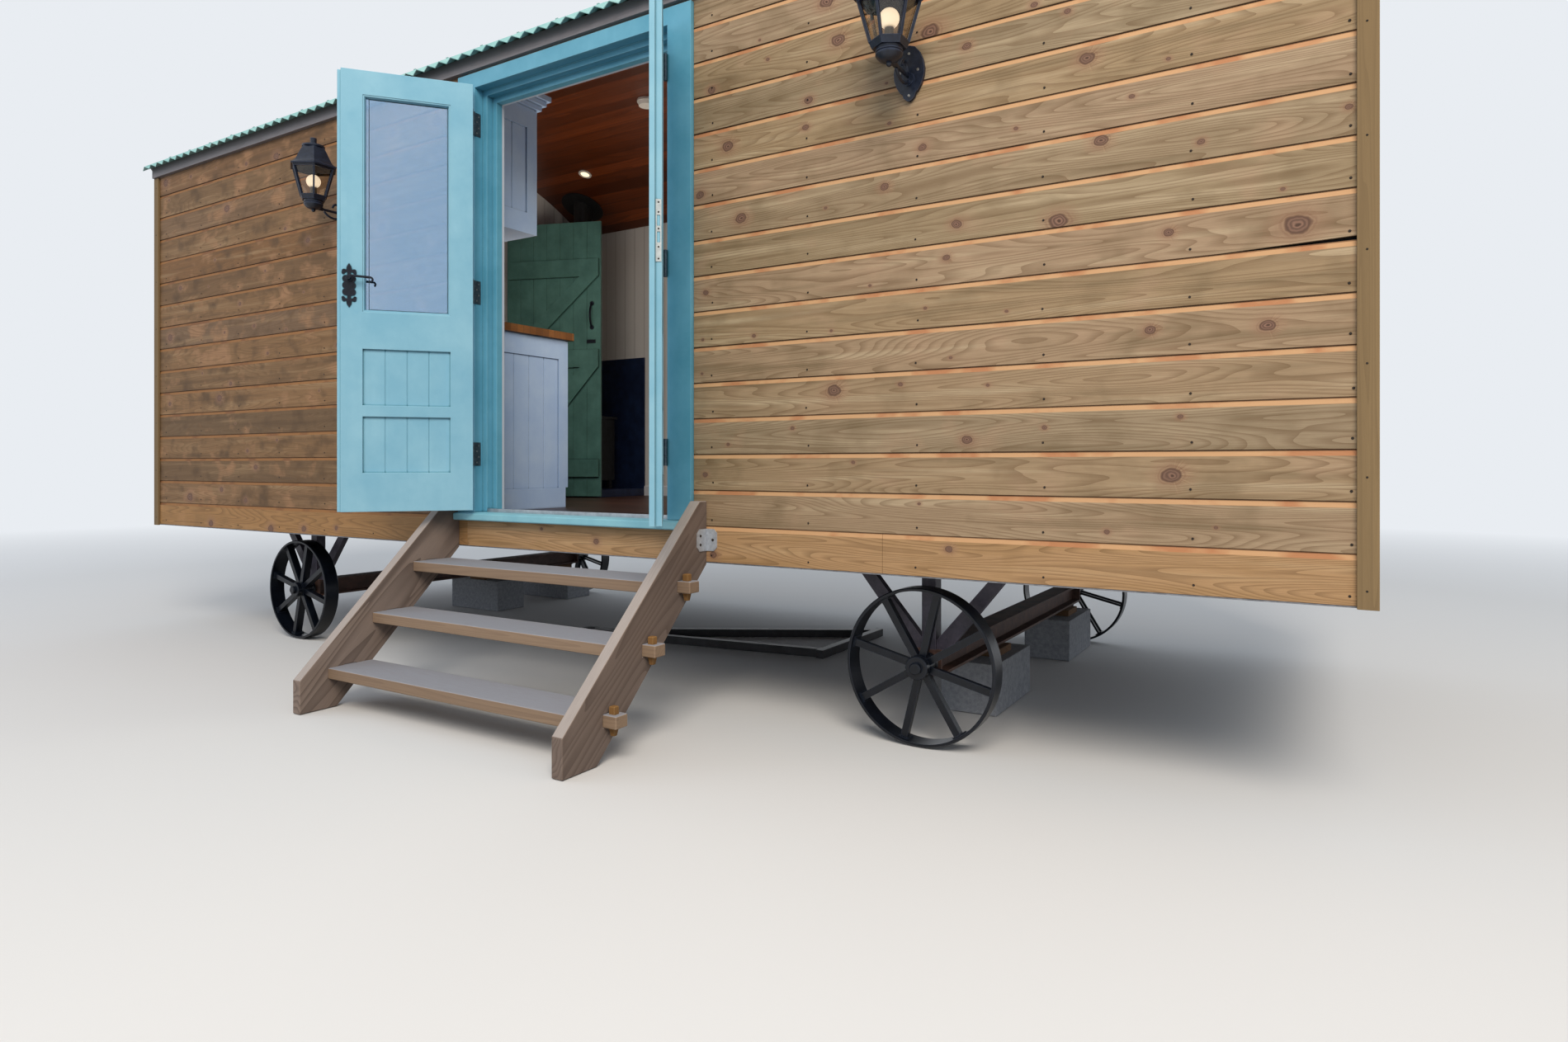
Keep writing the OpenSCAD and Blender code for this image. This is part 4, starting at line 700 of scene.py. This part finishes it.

# Corner boards, eaves boards and barge boards are plain sawn softwood, nailed on last.
# The corner boards are oiled pine, and the eaves boards are drawn blue-grey as painted shade and
# sky reflection.
corner_pine = plain_timber("corner_pine_planed_oiled", 2, "#a58a62", "#7b6547", ring_mm=5.0,
                           worn="#a5885c")
eaves_wood_shade_sky = plain_timber("eaves_softwood_painted_shade_sky", 0, "#9b959a", "#6b6768", roughness=0.5,
                          ring_mm=5.0)
eased("corner_boards", 1.5, corner_pine)
eased("fascias", 1.5, eaves_wood_shade_sky)
corner_x, lowest_z, nail_step = 3.024, 0.62, 0.28
corner_nails = [((x, end.y - side * under_head, lowest_z + nail_step * k), (0, side, 0))
                for k in range(8) for side, end in zip((-1, 1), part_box("corner_boards"))
                for x in (-corner_x, corner_x)]
drive_heads("corner_board_nails", corner_nails, 0.0030, 0.0014, nail_steel)

# Drip strips of folded zinc run under the lowest boards and throw rain clear of the chassis.
# The zinc has dulled to an even grey.
drip_metal = mottled("drip_strip_zinc_folded", "#77777a", "#98989b", 30, 0.5, metallic=0.6)
dress(drip_metal, "drip_strips")

# Roof of corrugated steel bent over a boarded deck, coated pale green in the factory.
# The coating is satin and a little chalked, with a capped screw on every third crest.
sheet_coat = mottled("roof_sheet_steel_coated", "#86bcb8", "#a3d0ca", 140, 0.42, 0.1)
deck_wood = plain_timber("roof_deck_softwood_sawn", 0, "#a98a5c", "#7d6240")
eased("roof_sheet", 0, sheet_coat, angle=50)
dress(deck_wood, "roof_deck")
wave_pitch = 0.076
deck_t, wave_h = 0.018, 0.003
wave_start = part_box("roof_sheet")[0].x
cap_coat = mottled("screw_cap_nylon_moulded", "#7fa5a2", "#93b6b2", 8, 0.5)
caps = []
for angle in [math.radians(a) for a in (-32.2, -16.4, 16.4, 32.2)]:
    facing = Vector((0.0, math.sin(angle), math.cos(angle)))
    foot = Vector((0.0, body_y, arc_z)) + facing * (arc_r + deck_t + wave_h)
    caps += [((wave_start + (1.5 + 3 * k) * wave_pitch, foot.y, foot.z), facing)
             for k in range(27)]
drive_heads("roof_screw_caps", caps, 0.0085, 0.006, cap_coat, sides=10, crown=0.6)

# Ceiling of narrow softwood boards bent under the roof's curve and varnished dark red-brown.
# The varnish gives a low shine over flame-shaped grain; four small lights and a smoke
# alarm are let into it, all of white moulded plastic.
ceiling_wood = plain_timber("ceiling_boards_varnished", 0, "#7f3d1b", "#48200e", roughness=0.32,
                            ring_mm=12.0, lines=0.7, boards=(1, 0.085), joint="#1a0a05")
dress(ceiling_wood, "ceiling")
fitting_white = mottled("fitting_polycarbonate_moulded", "#dcd9d2", "#e6e3dc", 40, 0.4)
eased("ceiling_fittings", 0.8, fitting_white)


def even_tone(name, tones, patches_per_m, roughness, **shader_inputs):
    """Glass or plastic that is nearly even: two close tones drift into each other."""
    finish, tree, shader, place = new_finish(name, roughness, **shader_inputs)
    drift = add_node(tree, "TexNoise", Vector=place, Scale=patches_per_m)
    feed(shader, Base_Color=layered(tree, tones[0], (tones[1], drift)))
    return finish


lens_glow = even_tone("light_lens_acrylic_frosted_lit", ("#f6ead6", "#e2d2b8"), 300.0, 0.5,
                      Emission_Color="#ffe2b8", Emission_Strength=1.4)
lens_x, lens_y, lens_arc_r, lens_foot_r, lens_sides = 1.272, 0.565, 2.02402, 2.0200, 24
lens_verts, lens_faces = [], []
for x in (-lens_x, lens_x):
    for side in (-1, 1):
        turn = (Matrix.Translation((x, body_y, arc_z))
                @ Matrix.Rotation(-side * math.asin(lens_y / lens_arc_r), 4, "X"))
        start = len(lens_verts)
        for radius, drop in ((0.0285, 0.0), (0.0270, 0.0012), (0.0180, 0.0020), (0.0, 0.0024)):
            for k in range(lens_sides):
                angle = math.radians(k * 360 / lens_sides)
                lens_verts.append(turn @ Vector((radius * math.cos(angle),
                                                 radius * math.sin(angle), lens_foot_r - drop)))
        for r in range(start, start + 3 * lens_sides, lens_sides):
            for k in range(lens_sides):
                j = (k + 1) % lens_sides
                lens_faces.append((r + k, r + j, r + lens_sides + j, r + lens_sides + k))
lenses = new_piece("ceiling_light_lenses", lens_verts, lens_faces, lens_glow)
closing = bmesh.new()
closing.from_mesh(lenses.data)
bmesh.ops.remove_doubles(closing, verts=closing.verts, dist=0.00005)
closing.to_mesh(lenses.data)
closing.free()

# Door frame and sill of planed softwood, jointed and brushed with duck-egg oil paint.
# The paint is satin, with fine brush strokes up the wood and rubbed arrises; the frame's copy
# is drawn darker as painted shade, with painted shade in its rebates, and the sill's paler as
# painted light. The threshold is an extruded aluminium bar screwed to the sill.
frame_paint_shaded = mottled("frame_softwood_oil_painted_shaded", "#5a9fb8", "#6eb0c8", 230, 0.40, 0.10,
                      worn="#96c4d4", stroke=(1.0, 1.0, 0.05), painted_crease_shade="#2f6c7c")
sill_paint_lit = mottled("sill_softwood_oil_painted_lit", "#80bccc", "#95cdd8", 230, 0.40, 0.10,
                     worn="#b3dde6", stroke=(0.05, 1.0, 1.0))
threshold_metal = mottled("threshold_aluminium_extruded", "#a9adb2", "#c4c8cc", 30, 0.35,
                          metallic=0.9, stroke=(0.04, 1.0, 1.0))
# The strip of the frame that shows in the room is off-white, like the lining
frame_tree = frame_paint_shaded.node_tree
frame_shader = frame_tree.nodes["Principled BSDF"]
frame_colour = frame_shader.inputs["Base Color"].links[0].from_socket
frame_place = add_node(frame_tree, "TexCoord").outputs["Object"]
frame_depth = add_node(frame_tree, "SeparateXYZ", frame_place).outputs["Y"]
inner_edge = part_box("door_frame")[1].y - 0.014
feed(frame_shader, Base_Color=layered(
    frame_tree, frame_colour, ("#c3ccd8", frame_depth, inner_edge, inner_edge + 0.0006)))
eased("door_frame", 2, frame_paint_shaded)
eased("door_sill", 3, sill_paint_lit)
dress(threshold_metal, "threshold")

# Door leaves of framed softwood, one light over two boarded panels, each on three butt
# hinges. Their paint is the frame's, drawn paler as painted light, with painted shade in the
# panels' grooves, and the hinges are blued steel.
door_paint_lit = mottled("door_softwood_oil_painted_lit", "#85bcd2", "#98cadc", 230, 0.40, 0.10,
                     worn="#add9e6", stroke=(1.0, 1.0, 0.05), painted_crease_shade="#3f7f8c")
hinge_steel = mottled("hinge_steel_blued", "#3a464e", "#586770", 12, 0.42, 0.1, metallic=0.5)
screw_steel = mottled("screw_steel_bright", "#8d8b86", "#b5b2aa", 4, 0.35, metallic=0.8)
eased("left_leaf", 1.6, door_paint_lit, "left_door")
eased("right_leaf", 1.6, door_paint_lit, "right_door")
eased("door_hinges", 0, hinge_steel)
eased("left_leaf_hinges", 0, hinge_steel, "left_door")
eased("right_leaf_hinges", 0, hinge_steel, "right_door")
joints = {joint["name"]: joint for joint in frame["joints"]}


def leaf_place(side):
    """From a leaf's own plan, hinge pin at nought, to where the open leaf stands."""
    swing = joints["left_door_swing" if side > 0 else "right_door_swing"]
    x, y, z = swing["pos_m"]
    opened = math.radians(swing["range_deg"][1])
    return (Matrix.Translation((x, y, 0)) @ Matrix.Rotation(-side * opened, 4, "Z")
            @ Matrix.Diagonal((side, 1, 1, 1)))


leaf_z, leaf_w, leaf_h, pin_gap = 0.738, 0.518, 1.814, 0.0025
flap_t, flap_y = 0.0018, 0.008
hinge_feet = (leaf_z + 0.190, leaf_z + 0.49 * leaf_h, leaf_z + leaf_h - 0.200)
screw_spots = [(flap_y + y, foot + z) for foot in hinge_feet
               for y, z in ((0.010, 0.014), (0.020, 0.038), (0.010, 0.062), (0.020, 0.086))]
for side, body in ((1, "left_door"), (-1, "right_door")):
    place = leaf_place(side)
    facing = place.to_3x3() @ Vector((-1, 0, 0))
    screws = [(place @ Vector((pin_gap - flap_t, y, z)), facing) for y, z in screw_spots]
    drive_heads(body + "_hinge_screws", screws, 0.0032, 0.0005, screw_steel, body, sides=12)
    pin = joints[body + "_swing"]["pos_m"]
    screws = [((pin[0] - side * (pin_gap - flap_t), pin[1] + y, z), (side, 0, 0))
              for y, z in screw_spots]
    drive_heads("frame_hinge_screws_" + body, screws, 0.0032, 0.0005, screw_steel, sides=12)

# Panes of float glass, sealed in pairs and held by painted beads. They are clear, and their
# blue-lilac sheen is painted sky reflection, a blue tint in the glass and in what it reflects;
# a dark rubber line runs round the edge.
pane_glass = even_tone("pane_float_glass", ("#b9d6f8", "#c8e0fa"), 4.0, 0.03,
                       Transmission_Weight=1.0, IOR=4.8, Specular_Tint="#b8dcff")
dress(pane_glass, "left_leaf_glass", "right_leaf_glass")
gasket_rubber = mottled("gasket_rubber_extruded", "#1d2f38", "#2b414b", 10, 0.6)
light_x0, light_x1, light_z0, light_z1 = 0.1035, 0.4095, 1.5710, 2.4410
glass_mid, glass_half, gasket_w, gasket_t = 0.027, 0.003, 0.0025, 0.0006
for side, body in ((1, "left_door"), (-1, "right_door")):
    place = leaf_place(side)
    verts, faces = [], []
    for facing in (-1, 1):
        near = glass_mid + facing * (glass_half + 0.0001)
        y0, y1 = sorted((near, near + facing * gasket_t))
        for low, high in (((light_x0, y0, light_z0), (light_x0 + gasket_w, y1, light_z1)),
                          ((light_x1 - gasket_w, y0, light_z0), (light_x1, y1, light_z1)),
                          ((light_x0, y0, light_z0), (light_x1, y1, light_z0 + gasket_w)),
                          ((light_x0, y0, light_z1 - gasket_w), (light_x1, y1, light_z1))):
            corners, sides = solid_box(low, high)
            faces += [tuple(len(verts) + i for i in face) for face in sides]
            verts += [place @ Vector(corner) for corner in corners]
    new_piece(body + "_gaskets", verts, faces, gasket_rubber, body)

# Lock plates and lever are forged iron, waxed blue-black. The lock's forend is a brass strip
# let into the leaf's free edge, and the keep on the other leaf is zinc-plated steel.
black_iron = mottled("ironmongery_forged_waxed", "#0d1018", "#1c212d", 10, 0.36, 0.25,
                     metallic=0.3, worn="#3a4152")
keep_zinc = mottled("keep_steel_zinc_plated", "#c2c8c6", "#dbdfdc", 12, 0.4, metallic=0.35)
lock_brass = mottled("lock_forend_brass_lacquered", "#b79f6c", "#cdb684", 20, 0.3, metallic=0.8)
eased("left_lock_plates", 0.5, black_iron, "left_door", segments=1)
eased("lever_handle", 0, black_iron, "lever", angle=40)
dress(keep_zinc, "keep_plate")
lap = 0.008
lip_x, lip_y = pin_gap + leaf_w + lap, 0.0158
forend_z0, forend_z1, forend_half, forend_t = 1.590, 1.742, 0.0045, 0.0007
place = leaf_place(1)
corners, sides = solid_box((lip_x, lip_y - forend_half, forend_z0),
                           (lip_x + forend_t, lip_y + forend_half, forend_z1))
new_piece("lock_forend", [place @ Vector(c) for c in corners], sides, lock_brass, "left_door")
keep_x, keep_y, keep_t = pin_gap + leaf_w - lap, 0.018, 0.002
for name, side, x, y, levels, radius, steel, body in (
        ("lock_forend_screws", 1, lip_x + 0.0010, lip_y, (forend_z0 + 0.008, forend_z1 - 0.008),
         0.0032, screw_steel, "left_door"),
        ("keep_screws", -1, keep_x + keep_t + 0.0003, keep_y, (1.576, 1.613, 1.670, 1.722, 1.753),
         0.0030, nail_steel, "right_door")):
    place = leaf_place(side)
    facing = place.to_3x3() @ Vector((1, 0, 0))
    drive_heads(name, [(place @ Vector((x, y, z)), facing) for z in levels], radius, 0.0008,
                steel, body, sides=12)

# Steps of sawn planks: three treads tenoned through two strings, each tenon held by a square
# oak peg. The tops are weathered grey and drawn blue-grey as painted sky light, the faces
# stay brown, the arrises are rubbed.
tread_wood = plain_timber("tread_softwood_weathered", 0, "#a88e74", "#7d6755", ring_mm=7.0,
                          lines=0.45, sky="#9a9ba2", worn="#bda78f")
string_wood = plain_timber("string_softwood_weathered", 1, "#9a877a", "#64554c", ring_mm=11.0,
                           lines=0.85, turn=math.radians(-45.0), sky="#b0a49c", worn="#b5a18f")
peg_wood = plain_timber("peg_oak_riven", 2, "#a67a48", "#7c5930", ring_mm=4.0, worn="#a98a5c")
eased("step_treads", 4, tread_wood, segments=3)
eased("step_stringers", 3.5, string_wood, segments=3)
eased("step_pegs", 1.2, peg_wood)

# Step brackets are galvanised steel angles, screwed to the strings and to the wall.
# The zinc is pale grey with a faint crystal bloom.
bracket_zinc = mottled("bracket_steel_galvanised", "#b3b7bd", "#cdd1d6", 14, 0.4, metallic=0.45)
dress(bracket_zinc, "step_brackets")
string_x, bracket_z, angle_t = 0.650 + 0.045, 0.620, 0.0032
bracket_screws = []
for side in (-1, 1):
    x = door_x + side * string_x
    bracket_screws += [((x + side * angle_t, wall_y - 0.042, bracket_z + z), (side, 0, 0))
                       for z in (0.024, 0.056)]
    bracket_screws.append(((x + side * 0.028, wall_y - angle_t, bracket_z + 0.040), (0, -1, 0)))
drive_heads("bracket_screws", bracket_screws, 0.0055, 0.0022, nail_steel, sides=12, crown=0.55)

# Lanterns are cast aluminium on scroll arms with leaf-shaped wall plates, coated blue-black,
# with six clear panes round a lit opal globe. Only the globe is lit, not its ceramic neck.
lamp_coat = mottled("lantern_cast_aluminium_coated", "#101522", "#202839", 18, 0.38, 0.3,
                    worn="#465069")
lamp_glass = even_tone("lantern_pane_clear_glass", ("#f1e4d4", "#f6efe6"), 30.0, 0.03,
                       Transmission_Weight=1.0, IOR=1.45)
eased("lantern_brackets", 0.6, lamp_coat, segments=1, angle=40)
eased("lantern_frames", 0.5, lamp_coat, segments=1, angle=26)
dress(lamp_glass, "lantern_panes")
bulb_glow, bulb_tree, bulb_shader, bulb_place = new_finish(
    "bulb_opal_glass_lit", 0.3, Emission_Strength=0.9)
bulb_z = add_node(bulb_tree, "SeparateXYZ", bulb_place).outputs["Z"]
neck_z, globe_z = 2.245, 2.251
feed(bulb_shader,
     Base_Color=layered(bulb_tree, "#6f6a60", ("#fff3e0", bulb_z, neck_z, globe_z)),
     Emission_Color=layered(bulb_tree, "#000000", ("#fff0d6", bulb_z, neck_z, globe_z)))
eased("lantern_bulbs", 0, bulb_glow, angle=60)
lamp_x, plate_z, plate_t = 1.490, 2.166, 0.0120
screw_spots = ((0.030, 0.006), (-0.030, 0.006), (0.0, 0.062), (0.0, -0.070))
lamp_screws = [((door_x + side * lamp_x + x, wall_y - plate_t, plate_z + z), (0, -1, 0))
               for side in (-1, 1) for x, z in screw_spots]
drive_heads("lantern_plate_screws", lamp_screws, 0.0048, 0.0030, screw_steel, sides=14,
            crown=0.6)

# Inside, a boarded partition carries a ledged and braced door painted dark green, on two
# hinges and with a black bow pull.
# Painted shade: the crease colour darkens the gaps between boards, ledges and braces
door_green = mottled("inner_door_boards_oil_painted", "#426760", "#517b73", 120, 0.45, 0.06,
                     stroke=(1.0, 1.0, 0.06), painted_crease_shade="#1d3029")
eased("partition", 1.0, lining_end)
eased("inner_door", 1.5, door_green, "inner_door")
eased("inner_door_fittings", 0, black_iron, "inner_door", angle=40)

# Cupboards have framed and grooved ends and doors of painted softwood, a base unit under a
# wall unit with a stepped cornice, and a worktop of oiled hardwood blocks.
# Painted light: the pale blue is part paint, part sky light from the doorway; grooves get painted
# shade
cupboard_paint = mottled("cupboard_softwood_eggshell_painted", "#a8c2e6", "#b8cfec", 180, 0.42,
                         0.05, stroke=(1.0, 1.0, 0.06), painted_crease_shade="#6d7d96")
eased("cupboards", 1.0, cupboard_paint)
worktop_wood = plain_timber("worktop_block_hardwood_oiled", 0, "#95602f", "#6b421f",
                            roughness=0.4, ring_mm=5.0, boards=(1, 0.040), joint="#5c3c22",
                            bump_mm=0.1)
eased("worktop", 2, worktop_wood)

# Hearth of honed dark blue slate, floor slab and back panel, with a cast iron stove blacked
# with graphite and a flue pipe up through the ceiling and roof. Only the handle is bright.
hearth_slate = mottled("hearth_slate_honed", "#121b33", "#1d2a48", 60, 0.55, 0.2)
stove_iron = mottled("stove_cast_iron_blacked", "#131415", "#222426", 25, 0.5, 0.3,
                     worn="#34363a")
eased("hearth", 1.5, hearth_slate)
stove = eased("stove", 2, stove_iron)
stove.data.materials.append(screw_steel)
handle_back_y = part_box("stove")[0].y + 0.016
for face in stove.data.polygons:
    face.material_index = int(face.center.y < handle_back_y)
eased("flue_pipe", 0, stove_iron)

# The studio: a pale plain floor that fades into an even pale background, one large soft lamp
# from the right, a weaker one from the left, and two small ones under the hut's ceiling.
backdrop_colour = "#e9edf2"
floor_half, floor_z = 60, -0.002
floor_mesh = bpy.data.meshes.new("studio_floor")
floor_mesh.from_pydata([(x * floor_half, y * floor_half, floor_z)
                        for x, y in ((-1, -1), (1, -1), (1, 1), (-1, 1))], [], [(0, 1, 2, 3)])
studio_floor = new_object("studio_floor", floor_mesh)


def seen_directly(tree):
    """One for rays from the camera, off a mirror and through glass, and nought for others."""
    rays = add_node(tree, "LightPath").outputs
    seen = add_node(tree, "Math.MAXIMUM", rays["Is Camera Ray"], rays["Is Glossy Ray"])
    return add_node(tree, "Math.MAXIMUM", seen, rays["Is Transmission Ray"])


floor_finish, floor_tree, floor_shader, floor_place = new_finish("studio_floor_matt", 0.9)
shown = seen_directly(floor_tree)
feed(floor_shader, Base_Color=layered(floor_tree, "#8f8c88", ("#e4e2df", shown)))
distance = add_node(floor_tree, "VectorMath.LENGTH", floor_place)
fade = add_node(floor_tree, "MapRange", distance, 6.0, 13.0)
fade = add_node(floor_tree, "Math.MULTIPLY", fade, shown)
far_glow = add_node(floor_tree, "Emission", Color=backdrop_colour)
faded = add_node(floor_tree, "MixShader", fade, floor_shader, far_glow)
feed(floor_tree.nodes["Material Output"], Surface=faded)
floor_mesh.materials.append(floor_finish)

world = bpy.data.worlds.new("studio")
bpy.context.scene.world = world
world.use_nodes = True
sky_tree = world.node_tree
soft_light = sky_tree.nodes["Background"]
feed(soft_light, Color="#dfe9f5", Strength=0.70)
backdrop = add_node(sky_tree, "Background", Color=backdrop_colour)
both = add_node(sky_tree, "MixShader", seen_directly(sky_tree), soft_light, backdrop)
feed(sky_tree.nodes["World Output"], Surface=both)
for name, kind, place, aim_at, size, power, colour in (
        ("key_light", "AREA", (5.2, -7.0, 7.8), (0.6, -0.6, 1.4), 5.0, 800.0, "#fff6ea"),
        ("fill_light", "AREA", (-8.0, -6.0, 4.5), (-1.0, 0.0, 1.4), 5.0, 120.0, "#e6eeff"),
        ("room_light", "POINT", (-0.72, 0.02, 1.95), (0.0, body_y, 3.0), 0.22, 14.0, "#fff2e2"),
        ("doorway_light", "POINT", (0.42, 0.30, 1.85), (0.0, body_y, 3.0), 0.22, 16.0, "#fff2e2")):
    lamp = bpy.data.lights.new(name, kind)
    setattr(lamp, "size" if kind == "AREA" else "shadow_soft_size", size)
    lamp.energy = power
    lamp.color = srgb(colour)[:3]
    holder = new_object(name, lamp)
    holder.location = place
    holder.visible_camera = holder.visible_glossy = holder.visible_transmission = False
    holder.rotation_euler = (Vector(aim_at) - Vector(place)).to_track_quat("-Z", "Y").to_euler()
